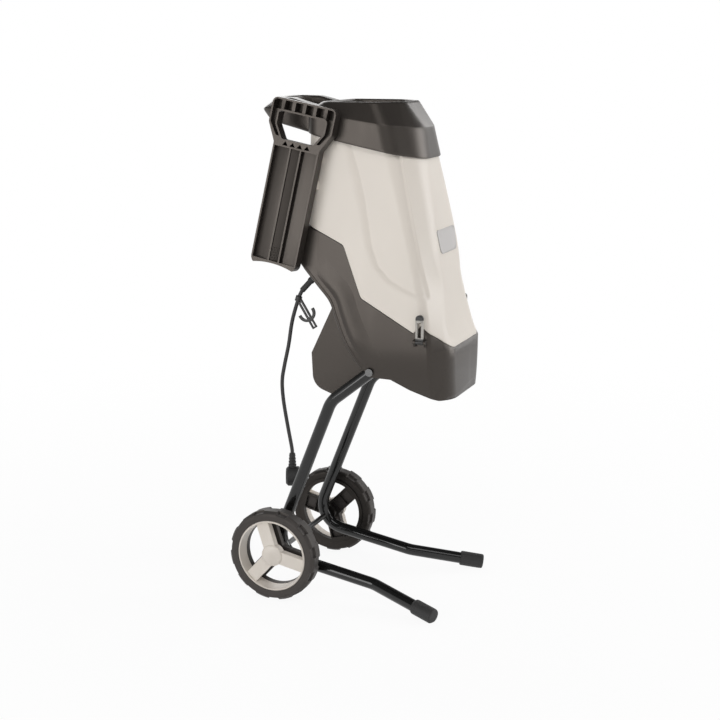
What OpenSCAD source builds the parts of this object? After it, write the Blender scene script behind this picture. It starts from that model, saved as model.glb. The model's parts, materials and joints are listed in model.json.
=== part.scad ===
// Garden shredder on a wheeled tube stand: hinged hopper with a feed collar, base with a knife disc
// motor, discharge chute, stowed pusher and mains lead.
// Millimetres. Z up from the floor, the feet and latches face -Y, the right side is -X.

/* [Stand] */
// Radius of the wheels
wheel_r = 85; // [80:1:92]
// Width of the wheels
wheel_w = 36; // [30:1:42]
// Distance from the middle plane to each stand tube
tube_x = 98; // [95:1:102]
// Outer diameter of the stand tubes
tube_d = 22; // [18:1:24]
// Wall of the stand tubes
tube_wall = 1.5; // [1:0.1:2.5]
// Centre-line radius of the tube bends
bend_r = 48; // [42:1:56]
// Forward lean of the legs from vertical, degrees
leg_lean = 21.7; // [18:0.1:25]
// Leg length between its two bend corners
leg_len = 325; // [300:1:350]
// Fall of the ground runs towards the front, degrees
run_drop = 10.1; // [8:0.1:11]
// Length of the ground runs from bend corner to kink
run_len = 207; // [190:1:225]
// Forward reach of the splayed feet past the kink
foot_reach = 127; // [110:1:130]
// Sideways splay of the feet
foot_splay = 48; // [30:1:60]
// Rise of the tube ends into the base, degrees
socket_rise = 38.4; // [34:0.1:42]
// Distance from the upper bend corner to the stand bolt
socket_run = 103; // [98:1:110]
// Diameter of the wheel axle
axle_d = 10; // [8:0.5:12]
// Diameter of the rubber foot caps
cap_d = 28; // [27:1:32]
// Length of the rubber foot caps
cap_len = 45; // [36:1:55]

/* [Wheels] */
// Radius of the cream wheel cover
cover_r = 67; // [62:1:70]
// Width of the wheel cover spokes
spoke_w = 24; // [18:1:28]
// Number of tread blocks on each shoulder
tread_blocks = 12; // [10:1:14]
// Depth of the tread recesses
tread_depth = 2.5; // [1.5:0.5:4]
// Radius of the wheel hubs
hub_r = 14; // [12:1:17]

/* [Housing] */
// Wall of the moulded shells
wall = 3; // [2.5:0.5:4]
// Half width of the body at the seam
seam_half_w = 118; // [114:1:122]
// Half width of the hopper at its top
top_half_w = 93; // [88:1:96]
// Half width of the base at its floor
floor_half_w = 98; // [92:1:104]
// Half width of the front face at the seam
front_half_w = 79; // [72:1:84]
// Half width of the front face at the hopper top
front_top_half_w = 42; // [36:1:48]
// Front of the hopper just above its foot flare, ahead of the stand bolt
front_foot = 131.5; // [128:0.5:135]
// Front of the hopper at its top, ahead of the stand bolt
front_top = 62; // [56:1:66]
// Outward flare of the hopper foot over the base
foot_flare = 11; // [6:1:14]
// Belly of the hopper front
front_belly = 4; // [3.5:0.5:6]
// Narrowing of the hopper front on each side below its plate
front_waist = 16; // [8:1:20]
// Rear face of the body behind the stand bolt
rear_y = 126; // [122:1:130]
// Gap along the seam between hopper and base
seam_gap = 1.2; // [1:0.1:2]
// Depth of the sunk side panels of the hopper
panel_sink = 3; // [1:0.5:4]

/* [Collar] */
// Height of the feed rim above the stand bolt
rim_z = 468; // [462:1:476]
// Height of the collar crease above the stand bolt, at its front
crease_z = 425; // [420:1:430]
// Rise of the collar crease towards the rear, degrees
crease_rise = 8; // [6:0.5:9]
// Half width of the feed rim
rim_half_w = 82; // [78:1:86]
// Width of the rim lip
rim_lip = 8; // [6:1:10]
// Overlap of the collar skirt outside the hopper
skirt_grow = 4; // [3.5:0.5:5]
// Rise of the skirt edge towards the rear, degrees
skirt_rise = 12.5; // [9:0.5:13]
// Half width of the carrying handle at its end
handle_half_w = 68; // [62:1:72]
// Half width of the hand hole
hand_hole_half_w = 48; // [42:1:52]

/* [Drive] */
// Distance of the motor axis ahead of the stand bolt
motor_ahead = 25; // [22:1:27]
// Outer radius of the motor stator
stator_r = 45; // [42:1:46]
// Air gap between armature and stator
air_gap = 1; // [0.8:0.1:1.5]
// Diameter of the motor shaft
shaft_d = 14; // [12:1:16]
// Radius of the knife disc
disc_r = 75; // [70:1:76]
// Thickness of the knife disc
disc_h = 5; // [4:0.5:6]
// Height of the cutter deck above the stand bolt
deck_z = 138; // [134:1:141]
// Number of fan blades
fan_blades = 9; // [7:1:11]

/* [Pusher] */
// Width of the pusher blade
pusher_w = 88; // [80:1:96]
// Length of the pusher blade
pusher_len = 219; // [190:1:225]
// Thickness of the pusher
pusher_t = 22; // [18:1:24]
// Width of the pusher grip
grip_w = 122; // [112:1:128]
// Backward tilt of the stowed pusher, degrees
pusher_tilt = 11; // [10:0.5:14]
// Sideways lean of the stowed pusher, degrees
pusher_lean = 5; // [4:0.5:6]

/* [Latches and hinge] */
// Height of the latch loops
latch_len = 48; // [44:1:52]
// Width of the latch loops
latch_w = 14; // [12:1:15]
// Diameter of the latch pins
latch_pin_d = 3; // [2.5:0.5:4]
// Diameter of the hinge pins
hinge_pin_d = 6; // [5:0.5:7]
// Distance of the hinges from the middle plane
hinge_x = 60; // [50:1:70]

/* [Lead] */
// Diameter of the mains cord
cord_d = 7; // [6:0.5:8]
// Distance of the cord from the middle plane
cord_x = 55; // [50:1:60]
// Length of the cord sleeve
sleeve_len = 54; // [50:1:58]

/* [Hidden] */
$fn = 48;
// Fits between pieces
running = 0.05;
press = 0.02;
part_gap = 0.4;
over = 1;

black = "#2b2a29";
dark = "#383534";
cream = "#d8d0c4";
steel = "#b9bcc0";
copper = "#b5713c";

// Vector helpers
function unit(v) = v / norm(v);
function lerp(a, b, t) = a + (b - a) * t;
function clamp01(t) = max(0, min(1, t));

// Arc of a rounded polygon corner at q between its neighbours p and s
function corner_arc(p, q, s, r, n) =
  let (a = unit(q - p), b = unit(s - q), bend = a.x * b.y - a.y * b.x < 0 ? -1 : 1,
       turn = acos(max(-1, min(1, a * b))), start = q - a * r * tan(turn / 2),
       side = bend * [-a.y, a.x])
  [for (k = [0 : n]) start + a * r * sin(turn * k / n) + side * r * (1 - cos(turn * k / n))];

// Polygon with every corner rounded by its own radius
function rounded(p, r, n = 5) =
  let (m = len(p))
  [for (i = [0 : m - 1])
    each corner_arc(p[(i + m - 1) % m], p[i], p[(i + 1) % m], is_list(r) ? r[i] : r, n)];

// Polygon, counter-clockwise, moved inwards by d on every side
function inset(p, d) =
  let (m = len(p))
  [for (i = [0 : m - 1])
    let (a = unit(p[i] - p[(i + m - 1) % m]), b = unit(p[(i + 1) % m] - p[i]),
         na = [-a.y, a.x], nb = [-b.y, b.x])
    p[i] + (na + nb) * d / (1 + na * nb)];

// Solid through equal rings of points, from the lowest to the highest
module loft(rings) {
  m = len(rings[0]);
  k = len(rings);
  polyhedron(
    points = [for (ring = rings) each ring],
    faces = concat(
      [[for (j = [0 : m - 1]) j]],
      [for (i = [0 : k - 2], j = [0 : m - 1])
        each let (a = i * m + j, b = i * m + (j + 1) % m)
          [[a, a + m, b + m], [a, b + m, b]]],
      [[for (j = [m - 1 : -1 : 0]) (k - 1) * m + j]]),
    convexity = 8);
}

// Side outline in Y and Z, extruded across X
module side_prism(outline, half) {
  rotate([90, 0, 90]) linear_extrude(2 * half, center = true) polygon(outline);
}

// Cylinder between two points, with a bore where one is given
module rod(p, q, d, bore = 0) {
  v = q - p;
  translate(p) rotate([0, acos(v.z / norm(v)), atan2(v.y, v.x)])
    if (bore > 0) ring(d / 2, bore / 2, norm(v));
    else cylinder(h = norm(v), d = d);
}

// Ring about Z between two radii
module ring(r_out, r_in, h) {
  difference() {
    cylinder(h = h, r = r_out);
    translate([0, 0, -over]) cylinder(h = h + 2 * over, r = r_in);
  }
}

// Screw along Z with its head on top of z = 0
module screw(d, len, head_d, head_h) {
  translate([0, 0, -len]) cylinder(h = len + press, d = d);
  cylinder(h = head_h, d = head_d);
}

// Stand geometry, Y from the axle and Z from the floor
axle_point = [0, 0, wheel_r];
run_dir = [0, -cos(run_drop), -sin(run_drop)];
leg_dir = [0, -sin(leg_lean), cos(leg_lean)];
socket_dir = [0, -cos(socket_rise), sin(socket_rise)];
bend_half = acos(run_dir * leg_dir) / 2;
low_corner = axle_point - unit(run_dir + leg_dir) * bend_r * (1 / sin(bend_half) - 1);
top_corner = low_corner + leg_dir * leg_len;
bolt_point = top_corner + socket_dir * socket_run;
socket_depth = 28;
tube_end = bolt_point + socket_dir * socket_depth;
kink = low_corner + run_dir * run_len;
sole_cut = 1.5;
foot = [foot_splay, kink.y - foot_reach, cap_d / 2 - sole_cut];
foot_dir = unit(foot - kink);
wheel_gap = 14;
wheel_x = tube_x + tube_d / 2 + wheel_gap;

// Body geometry, Y and Z from the stand bolt
seam_z = 45;
top_z = 432;
floor_z = -46;
waist_z = 150;
waist_h = 40;
flare_h = 24;
seam_front = -(front_foot + foot_flare);
front_reach = -bolt_point.y - seam_front;
axle_y = (front_reach - wheel_r) / 2;

module in_stand() {
  translate([0, axle_y, 0]) children();
}

module in_body() {
  translate([0, axle_y + bolt_point.y, bolt_point.z]) children();
}

// Share of the way from the seam to the hopper top, and from the seam to the floor
function up_share(z) = clamp01((z - seam_z) / (top_z - seam_z));
function down_share(z) = clamp01((seam_z - z) / (seam_z - floor_z));
function half_w(z) = z < seam_z
  ? lerp(seam_half_w, floor_half_w, pow(down_share(z), 2))
  : lerp(seam_half_w, top_half_w, pow(up_share(z), 1.35));
function front_w(z) = lerp(front_half_w, front_top_half_w, pow(up_share(z), 0.8))
  - front_waist * exp(-pow((z - waist_z) / waist_h, 2));
function front_y(z) = z < seam_z
  ? seam_front
  : -lerp(front_foot, front_top, up_share(z)) - front_belly * pow(sin(180 * up_share(z)), 2)
    - foot_flare * exp((seam_z - z) / flare_h);
function chamfer_y(z) = lerp(seam_front + 31, 45 - front_top, pow(up_share(z), 1.3));

// Outline of the body at height z, moved inwards by d
function section(z, d) =
  let (w = half_w(z), f = front_w(z), y = front_y(z), c = chamfer_y(z), t = up_share(z),
       side = lerp(14, 36, t), nose = lerp(50, 80, t), back = 22,
       half = [[-f, y], [f, y], [w, c], [w, rear_y], [-w, rear_y], [-w, c]])
  [for (p = rounded(inset(half, d), [nose - d, nose - d, side - d, back - d, back - d, side - d]))
    [p.x, p.y, z]];

module body_loft(heights, d) {
  loft([for (z = heights) section(z, d)]);
}

// Heights of the sections, close together where the hopper foot flares
hopper_heights = [30, 45, 52, 60, 72, 90, 120, 140, 160, 180, 200, 240, 280, 320, 360, 400, top_z, 450];
void_heights = [20, 45, 60, 90, 120, 140, 160, 180, 200, 240, 320, 400, 460];
panel_heights = [120, 140, 160, 180, 200, 240, 280, 320, 360, 400, 450];
base_heights = [floor_z, -38, -26, -12, 5, 25, 45, 46, 54, 64, 80, 110, 150, 200, 268];

// Seam between hopper and base, from the rear to the front
hinge_y = 134;
hinge_z = 256;
seam = concat(
  [[160, 273], [122, 255]],
  corner_arc([122, 255], [52, 222], [17, 131], 12, 4),
  corner_arc([52, 222], [17, 131], [-82, 76], 12, 4),
  [[-82, 76], [-96, 90], [-142, seam_z], [-200, seam_z]]);

// Lower edge of the base, from the front to the rear
panel_top = [136, 194];
panel_low = [83, 112];
lip_high = [70, 120];
lip_mid = [46, 55];
lip_low = [9, -1];
floor_line = [[-200, floor_z], [-122, floor_z], [-72, -28], [-38, -11], [0, -10]];
lower_edge = concat(floor_line, [lip_low, lip_mid, lip_high, panel_top, [124, 255]]);
over_lower_edge = concat(lower_edge, [[124, top_z], [-200, top_z]]);
base_outline = concat(floor_line, [lip_low, lip_mid, lip_high, panel_top, [122, 255]],
  [for (i = [2 : len(seam) - 1]) seam[i]]);
hopper_outline = concat([for (i = [len(seam) - 1 : -1 : 0]) seam[i] + seam_gap * [-0.3, 1]],
  [[160, 520], [-200, 520]]);

// Stand
tube_path = [tube_end, top_corner, low_corner, kink, foot];
bend_radii = [0, bend_r, bend_r, bend_r, 0];

function bend_turn(p, i) = acos(unit(p[i] - p[i - 1]) * unit(p[i + 1] - p[i]));
function bend_trim(p, r, i) =
  i == 0 || i == len(p) - 1 ? 0 : r[i] * tan(bend_turn(p, i) / 2);

// Pipe along a path with rolled bends, the bends a trace thicker and lapped by the straight runs
bend_swell = 0.2;
bend_lap = 2;
module bent_pipe(p, r, d, bore) {
  for (i = [0 : len(p) - 2]) {
    way = unit(p[i + 1] - p[i]);
    start = i == 0 ? 0 : bend_trim(p, r, i) - bend_lap;
    stop = i == len(p) - 2 ? 0 : bend_trim(p, r, i + 1) - bend_lap;
    rod(p[i] + way * start, p[i + 1] - way * stop, d, bore);
  }
  for (i = [1 : len(p) - 2]) {
    a = unit(p[i] - p[i - 1]);
    b = unit(p[i + 1] - p[i]);
    side = unit(b - a * (a * b));
    e = cross(-side, a);
    c = p[i] - a * bend_trim(p, r, i) + side * r[i];
    multmatrix([[-side.x, a.x, e.x, c.x], [-side.y, a.y, e.y, c.y], [-side.z, a.z, e.z, c.z]])
      rotate_extrude(angle = bend_turn(p, i)) translate([r[i], 0]) difference() {
        circle(d = d + 2 * bend_swell);
        circle(d = bore - 2 * bend_swell);
      }
  }
}

bolt_d = 6;
module stand_tube(side) {
  color(black) in_stand() difference() {
    translate([side * tube_x, 0, 0]) scale_side(side)
      bent_pipe(tube_path, bend_radii, tube_d, tube_d - 2 * tube_wall);
    across(axle_point) cylinder(h = 4 * tube_x, d = axle_d + 2 * press, center = true);
    across(bolt_point) cylinder(h = 4 * tube_x, d = bolt_d + 2 * press, center = true);
  }
}

// Mirror to the left or right side
module scale_side(side) {
  mirror([side < 0 ? 1 : 0, 0, 0]) children();
}

// Turn Z across the machine at a point
module across(p) {
  translate(p) rotate([0, 90, 0]) children();
}

hub_out = 17;
clip_h = 3;
axle_end = wheel_x + hub_out + part_gap + clip_h + 2;
module axle() {
  color(steel) in_stand() across(axle_point) cylinder(h = 2 * axle_end, d = axle_d, center = true);
}

module axle_clips() {
  color(steel) in_stand() for (side = [-1, 1])
    scale_side(side) translate([wheel_x + hub_out + part_gap, 0, 0]) across(axle_point)
      ring(axle_d / 2 + 4, axle_d / 2 + press, clip_h);
}

cap_past = 7;
module foot_cap(side) {
  color(black) in_stand() scale_side(side) difference() {
    translate([tube_x, 0, 0]) difference() {
      union() {
        rod(foot - foot_dir * (cap_len - cap_past), foot + foot_dir * (cap_past - 2), cap_d);
        rod(foot + foot_dir * (cap_past - 2 - press), foot + foot_dir * cap_past, cap_d - 4);
      }
      rod(foot - foot_dir * (cap_len + over), foot, tube_d + 2 * press);
    }
    translate([0, foot.y - cap_len, -cap_d]) cube([3 * tube_x, 3 * cap_len, cap_d]);
  }
}

socket_wall = 4;
bolt_head_x = half_w(0) + 0.5;
seat_cut = 1.5;
bolt_seat = tube_x - tube_d / 2 - socket_wall + seat_cut;
nut_d = 11.5;
nut_h = 5;
nut_turn = 18;
module stand_bolts() {
  color(steel) in_body() for (side = [-1, 1])
    scale_side(side) translate([bolt_head_x, 0, 0]) rotate([0, 90, 0])
      screw(bolt_d, bolt_head_x - bolt_seat + nut_h + 2, 14, 4.5);
}

module stand_nuts() {
  color(steel) in_body() for (side = [-1, 1])
    scale_side(side) translate([bolt_seat - nut_h, 0, 0]) rotate([0, 90, 0]) difference() {
      rotate(nut_turn) cylinder(h = nut_h, d = nut_d, $fn = 6);
      translate([0, 0, -over]) cylinder(h = nut_h + 2 * over, d = bolt_d + 2 * press);
    }
}

// Wheels, local Z outwards from the inner face
right_phase = 5;
left_phase = -15;
hub_in = wheel_gap - part_gap;
rim_r = cover_r + part_gap;

module at_wheel(side) {
  translate([side * wheel_x, 0, wheel_r]) rotate([0, side * 90, 0])
    rotate(side < 0 ? right_phase : left_phase) children();
}

module spokes3(w, r, h) {
  linear_extrude(h) for (k = [0 : 2]) rotate(120 * k) translate([0, -w / 2]) square([r, w]);
}

web_w = 30;
web_h = 10;
web_t = 3;
module wheel(side) {
  shoulder = 5;
  color(black) in_stand() at_wheel(side) difference() {
    union() {
      rotate_extrude($fn = 96) polygon([
        [rim_r, 2], [wheel_r - shoulder, 0], [wheel_r, shoulder], [wheel_r, wheel_w - shoulder],
        [wheel_r - shoulder, wheel_w], [rim_r, wheel_w - 1]]);
      ring(rim_r + press, rim_r - 7, 12);
      translate([0, 0, -hub_in]) cylinder(h = hub_in + hub_out, r = hub_r);
      difference() {
        spokes3(web_w, rim_r - 6, web_h);
        for (k = [0 : 2], pocket = [0 : 1]) rotate(120 * k)
          translate([hub_r + 1 + 22 * pocket, -web_w / 2 + web_t, -over])
            cube([22 - web_t, web_w - 2 * web_t, web_h - web_t + over]);
      }
    }
    translate([0, 0, -hub_in - over])
      cylinder(h = hub_in + hub_out + 2 * over, r = axle_d / 2 + running);
    for (k = [0 : tread_blocks - 1], edge = [0, 1])
      rotate(360 * (k + edge / 2) / tread_blocks)
        translate([wheel_r - tread_depth, -wheel_r / 11, edge * (wheel_w - 13) - over])
          cube([tread_depth + over, wheel_r / 5.5, 13 + 2 * over]);
  }
}

module wheel_cover(side) {
  barrel_in = 12 + part_gap;
  cap_r = 20;
  color(cream) in_stand() at_wheel(side) {
    rotate_extrude($fn = 96) polygon([
      [cover_r - 6, barrel_in], [cover_r, barrel_in], [cover_r, wheel_w - 1.5],
      [cover_r - 1.5, wheel_w], [cover_r - 3, wheel_w]]);
    difference() {
      union() {
        translate([0, 0, hub_out + 8]) spokes3(spoke_w, cover_r - 4, wheel_w - hub_out - 12);
        translate([0, 0, hub_out + 2]) for (edge = [-1, 1])
          for (k = [0 : 2]) rotate(120 * k)
            translate([0, edge * (spoke_w / 2 - 1.5) - 1.5, 0]) cube([cover_r - 5, 3, 8]);
        rotate_extrude() polygon([
          [0, hub_out + 2], [cap_r, hub_out + 2], [cap_r, wheel_w - 3], [cap_r - 3, wheel_w - 1],
          [0, wheel_w]]);
      }
      translate([0, 0, hub_out - over]) cylinder(h = clip_h + 5 + over, r = axle_d / 2 + 6);
    }
  }
}

// Base
chute_half_w = 80;
post_d = 14;
post_hole = 4;
posts = [[72, -82], [78, 22]];
socket_d = tube_d + 2 * socket_wall;

// Points on both sides of the middle plane
module both_sides() {
  for (side = [-1, 1]) scale_side(side) children();
}

module tube_socket(d, back, ahead) {
  both_sides() translate([tube_x, 0, 0]) rod(-socket_dir * back, socket_dir * ahead, d);
}

latch_y = -96;
latch_z = 63;
latch_pin_x = half_w(latch_z) + 5;
latch_t = 5;
lug_t = 4;
latch_side_gap = 0.5;
knuckle_w = 16;
ear_w = 8;
knuckle_r = 7;

module base_housing() {
  color(dark) in_body() difference() {
    union() {
      difference() {
        intersection() {
          body_loft(base_heights, 0);
          side_prism(base_outline, 140);
        }
        intersection() {
          body_loft([floor_z - 4, -38, -26, -12, 5, 25, 45, 80, 150, 290], wall);
          side_prism(inset(over_lower_edge, wall), 140);
        }
        side_prism([[30, 26], [60, 70], [74, 112], [136, 189], [100, 220], [0, 60]],
          chute_half_w - 2);
      }
      intersection() {
        union() {
          tube_socket(socket_d, 12, socket_depth + socket_wall);
          both_sides() for (p = posts)
            translate([p.x, p.y, floor_z]) cylinder(h = deck_z - floor_z, d = post_d);
        }
        side_prism(over_lower_edge, 140);
      }
      both_sides() for (edge = [-1, 1])
        translate([0, latch_y + edge * (latch_w + lug_t + 2 * latch_side_gap) / 2, latch_z])
          rotate([90, 0, 0]) latch_lug();
      both_sides() for (edge = [-1, 1])
        translate([hinge_x + edge * (knuckle_w / 2 + part_gap + ear_w / 2), hinge_y, hinge_z])
          hinge_ear(-1);
    }
    tube_socket(tube_d + 2 * press, 30, socket_depth + part_gap);
    both_sides() translate([bolt_seat - over, 0, 0]) rotate([0, 90, 0])
      cylinder(h = 60, d = bolt_d + 2 * press);
    both_sides() translate([bolt_head_x, 0, 0]) rotate([0, 90, 0]) cylinder(h = 20, d = 16);
    both_sides() translate([bolt_seat - 2 * nut_h, 0, 0]) rotate([0, 90, 0]) rotate(nut_turn)
      cylinder(h = 2 * nut_h, d = nut_d + 2 * part_gap, $fn = 6);
    both_sides() for (p = posts) translate([p.x, p.y, deck_z - 22])
      cylinder(h = 30, d = post_hole + 2 * press);
    both_sides() translate([latch_pin_x, latch_y, latch_z]) rotate([90, 0, 0])
      cylinder(h = 40, d = latch_pin_d + 2 * press, center = true);
    both_sides() translate([hinge_x, hinge_y, hinge_z]) rotate([0, 90, 0])
      cylinder(h = 60, d = hinge_pin_d + 2 * press, center = true);
  }
}

// Lug that carries a latch pin, its axis along Z
module latch_lug() {
  translate([0, 0, -lug_t / 2]) difference() {
    union() {
      translate([latch_pin_x, 0, 0]) cylinder(h = lug_t, d = 8);
      translate([latch_pin_x - 9, -8, 0]) cube([9, 12, lug_t]);
    }
    translate([latch_pin_x, 0, -over]) cylinder(h = lug_t + 2 * over, d = latch_pin_d);
  }
}

// Hinge ear of the base (dir -1) or knuckle of the hopper (dir 1), axis along X
module hinge_ear(dir, w = ear_w) {
  rotate([0, 90, 0]) cylinder(h = w, r = knuckle_r, center = true);
  translate([-w / 2, rear_y - hinge_y - 3, dir > 0 ? 0 : -14]) cube([w, hinge_y - rear_y + 3, 14]);
}

// Rear panel above the chute, a tray open to the inside
panel_half_w = 86;
panel_dir = unit(panel_low - panel_top);
panel_angle = atan2(panel_dir.y, panel_dir.x);
panel_t = 3;

module on_panel(x, s) {
  translate([x, panel_top.x + panel_dir.x * s, panel_top.y + panel_dir.y * s])
    rotate([panel_angle, 0, 0]) children();
}

switch_x = 15;
breaker_x = 55;
panel_mid = 50;
switch_w = 29;
switch_l = 27;
breaker_d = 16;
gland_s = 32;

module rear_panel() {
  tray = [lip_high, [66.5, 111], panel_low, panel_top + panel_dir * 2];
  color(dark) in_body() difference() {
    side_prism(tray, panel_half_w);
    side_prism([lip_high + [-12, 2], [62, 114.5], [80.5, 114.5], panel_top + [-6, -7.5]],
      panel_half_w - panel_t);
    on_panel(switch_x, panel_mid)
      cube([switch_w + part_gap, switch_l + part_gap, 40], center = true);
    on_panel(breaker_x, panel_mid) cylinder(h = 40, d = breaker_d + 2 * press, center = true);
    on_panel(-cord_x, gland_s) cylinder(h = 40, d = gland_d + 2 * press, center = true);
  }
}

// Discharge chute, open at the lip and at the mouth
chute_top = [127, 19];
chute_mouth = [124, -42];
chute_low = [82, -57];
chute_t = 3;
module discharge_chute() {
  start = lip_low + [2.8, 3.4];
  outer = concat([start], [chute_low], corner_arc(chute_low, chute_mouth, chute_top, 30, 8),
    [chute_top, panel_low - [0, part_gap], [67, 110.6], lip_mid + [part_gap, -part_gap / 2]]);
  top_dir = unit(chute_top - panel_low);
  low_dir = unit(chute_low - start);
  top_in = [top_dir.y, -top_dir.x] * chute_t;
  low_in = [-low_dir.y, low_dir.x] * chute_t;
  bore = [start + low_in - low_dir * 30, chute_low + low_in + low_dir * 60,
    chute_top + top_in + top_dir * 60, panel_low + top_in - [0, chute_t + 1],
    [40, panel_low.y - chute_t - 3]];
  color(dark) in_body() difference() {
    side_prism(outer, chute_half_w);
    side_prism(bore, chute_half_w - chute_t);
  }
}

// Motor and cutter, on a vertical axis
motor_y = -motor_ahead;
deck_t = 4;
bowl_r = 82;
bowl_h = 34;
stator_z = 56;
stator_h = 58;
bracket_z = 36;
bracket_h = 10;
bearing_r = 16;
bearing_h = 10;
disc_z = deck_z + 12;
screw_x = stator_r + 4;
screw_ear_d = 14;
motor_screw_d = 5;
cup_wall = 5;
armature_r = stator_r * 2 / 3 - air_gap;

module on_motor(z) {
  translate([0, motor_y, z]) children();
}

module cutter_deck() {
  seat_z = stator_z + stator_h;
  hub_z = deck_z - bearing_h - 2;
  color(dark) in_body() difference() {
    union() {
      on_motor(deck_z) cylinder(h = deck_t, r = bowl_r, $fn = 96);
      on_motor(deck_z) ring(bowl_r, bowl_r - wall, bowl_h);
      on_motor(seat_z) ring(stator_r, stator_r - cup_wall, deck_z - seat_z + press);
      on_motor(hub_z) cylinder(h = deck_z - hub_z + press, r = bearing_r + 4);
      both_sides() translate([screw_x, motor_y, deck_z - 8]) cylinder(h = 8 + press, d = screw_ear_d);
      both_sides() for (p = posts)
        translate([p.x, p.y, deck_z]) cylinder(h = deck_t, d = 20);
      side_prism([[26, 36], [29, 36], [52, deck_z], [52, deck_z + press], [48.5, deck_z + press]],
        68);
    }
    translate([-60, motor_y + 50, deck_z + deck_t]) cube([120, 60, bowl_h]);
    on_motor(hub_z - over) cylinder(h = bearing_h + over, r = bearing_r + press);
    on_motor(0) cylinder(h = 300, d = shaft_d + 2);
    both_sides() for (p = posts)
      translate([p.x, p.y, 0]) cylinder(h = 300, d = post_hole + 2 * press);
    both_sides() for (p = posts)
      translate([p.x, p.y, deck_z + deck_t]) cylinder(h = 50, d = 12);
    both_sides() translate([screw_x, motor_y, 0])
      cylinder(h = 300, d = motor_screw_d + 2 * press);
    for (k = [0 : 5]) on_motor(seat_z + 6) rotate(60 * k)
      translate([0, -6, 0]) cube([60, 12, 10]);
  }
}

deck_screw_len = 20;
module deck_screws() {
  color(steel) in_body() both_sides() for (p = posts)
    translate([p.x, p.y, deck_z + deck_t]) screw(post_hole, deck_screw_len, 9, 3);
}

pole_in = stator_r * 2 / 3;
module motor_stator() {
  color(steel) in_body() on_motor(stator_z) difference() {
    cylinder(h = stator_h, r = stator_r);
    translate([0, 0, -over]) cylinder(h = stator_h + 2 * over, r = pole_in);
    for (a = [0, 180]) rotate(a) translate([pole_in - 4, -9, -over])
      cube([10, 18, stator_h + 2 * over]);
  }
}

module field_windings() {
  color(copper) in_body() for (z = [stator_z - 8, stator_z + stator_h])
    on_motor(z) ring(stator_r - cup_wall - 1.5, pole_in + 1, 8);
}

module motor_bracket() {
  color(dark) in_body() difference() {
    union() {
      on_motor(bracket_z) cylinder(h = bracket_h, r = stator_r);
      on_motor(bracket_z) ring(stator_r, stator_r - cup_wall, stator_z - bracket_z);
      both_sides() translate([screw_x, motor_y, bracket_z]) cylinder(h = bracket_h, d = screw_ear_d);
    }
    on_motor(bracket_z - over) cylinder(h = bearing_h - 1 + over, r = bearing_r + press);
    on_motor(0) cylinder(h = 100, d = shaft_d + 6);
    both_sides() translate([screw_x, motor_y, 0])
      cylinder(h = 100, d = motor_screw_d + 2 * press);
    for (k = [0 : 5]) on_motor(bracket_z - over) rotate(60 * k + 30) translate([28, 0, 0])
      cylinder(h = bracket_h + 2 * over, r = 7);
  }
}

module motor_screws() {
  color(steel) in_body() both_sides() translate([screw_x, motor_y, bracket_z]) mirror([0, 0, 1])
    screw(motor_screw_d, deck_z + deck_t - bracket_z, 9, 4);
}

commutator_r = 13;
module brush_holders() {
  color("#8a5a2b") in_body() for (side = [-1, 1]) scale_side(side)
    on_motor(bracket_z + bracket_h) translate([commutator_r + part_gap, -5, 0])
      cube([14, 10, 9]);
}

module bearing(z) {
  color(steel) in_body() on_motor(z) ring(bearing_r, shaft_d / 2 + running, bearing_h - 1);
}
module upper_bearing() {
  bearing(deck_z - bearing_h - 2);
}
module lower_bearing() {
  bearing(bracket_z - 1);
}

fan_z = 20;
module motor_shaft() {
  color(steel) in_body() {
    on_motor(fan_z - 2) cylinder(h = disc_z + disc_h - fan_z + 2, d = shaft_d);
    on_motor(disc_z + disc_h - press) cylinder(h = 15, d = shaft_d - 4);
  }
}

module armature() {
  color("#6d6f73") in_body() on_motor(stator_z + 4) difference() {
    cylinder(h = stator_h - 8, r = armature_r);
    translate([0, 0, -over]) cylinder(h = stator_h, d = shaft_d + 2 * press);
    for (k = [0 : 11]) rotate(30 * k) translate([armature_r - 5, -1.5, -over])
      cube([8, 3, stator_h]);
  }
}

module commutator() {
  color(copper) in_body() on_motor(bracket_z + bracket_h + 1)
    ring(commutator_r, shaft_d / 2 + press, 10);
}

module cooling_fan() {
  fan_r = 29;
  color(dark) in_body() on_motor(fan_z) difference() {
    union() {
      cylinder(h = 13, r = shaft_d / 2 + 4);
      cylinder(h = 2, r = fan_r);
      for (k = [0 : fan_blades - 1]) rotate(360 * k / fan_blades)
        translate([shaft_d / 2 + 2, -1, 0]) cube([fan_r - shaft_d / 2 - 4, 2, 12]);
    }
    translate([0, 0, -over]) cylinder(h = 20, d = shaft_d + 2 * press);
  }
}

knife_l = 42;
knife_w = 26;
knife_h = 4;
knife_in = disc_r - knife_l - 5;
knife_screw_d = 6;
knife_screw_at = [10, 32];

module at_knives() {
  for (a = [0, 180]) on_motor(disc_z + disc_h) rotate(a + 35) translate([knife_in, 0, 0])
    children();
}

module knife_disc() {
  color(steel) in_body() difference() {
    union() {
      on_motor(disc_z) cylinder(h = disc_h, r = disc_r, $fn = 96);
      on_motor(disc_z - 5) cylinder(h = 5 + press, r = shaft_d / 2 + 8);
      for (a = [0, 180]) on_motor(disc_z - 6) rotate(a - 20) translate([32, -2, 0])
        cube([disc_r - 36, 4, 6 + press]);
    }
    on_motor(0) cylinder(h = 300, d = shaft_d + 2 * press);
    at_knives() translate([0, knife_w / 2 - 4, -50]) cube([knife_l, 12, 80]);
    at_knives() for (x = knife_screw_at) translate([x, 0, -50])
      cylinder(h = 80, d = knife_screw_d + 2 * press);
  }
}

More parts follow.
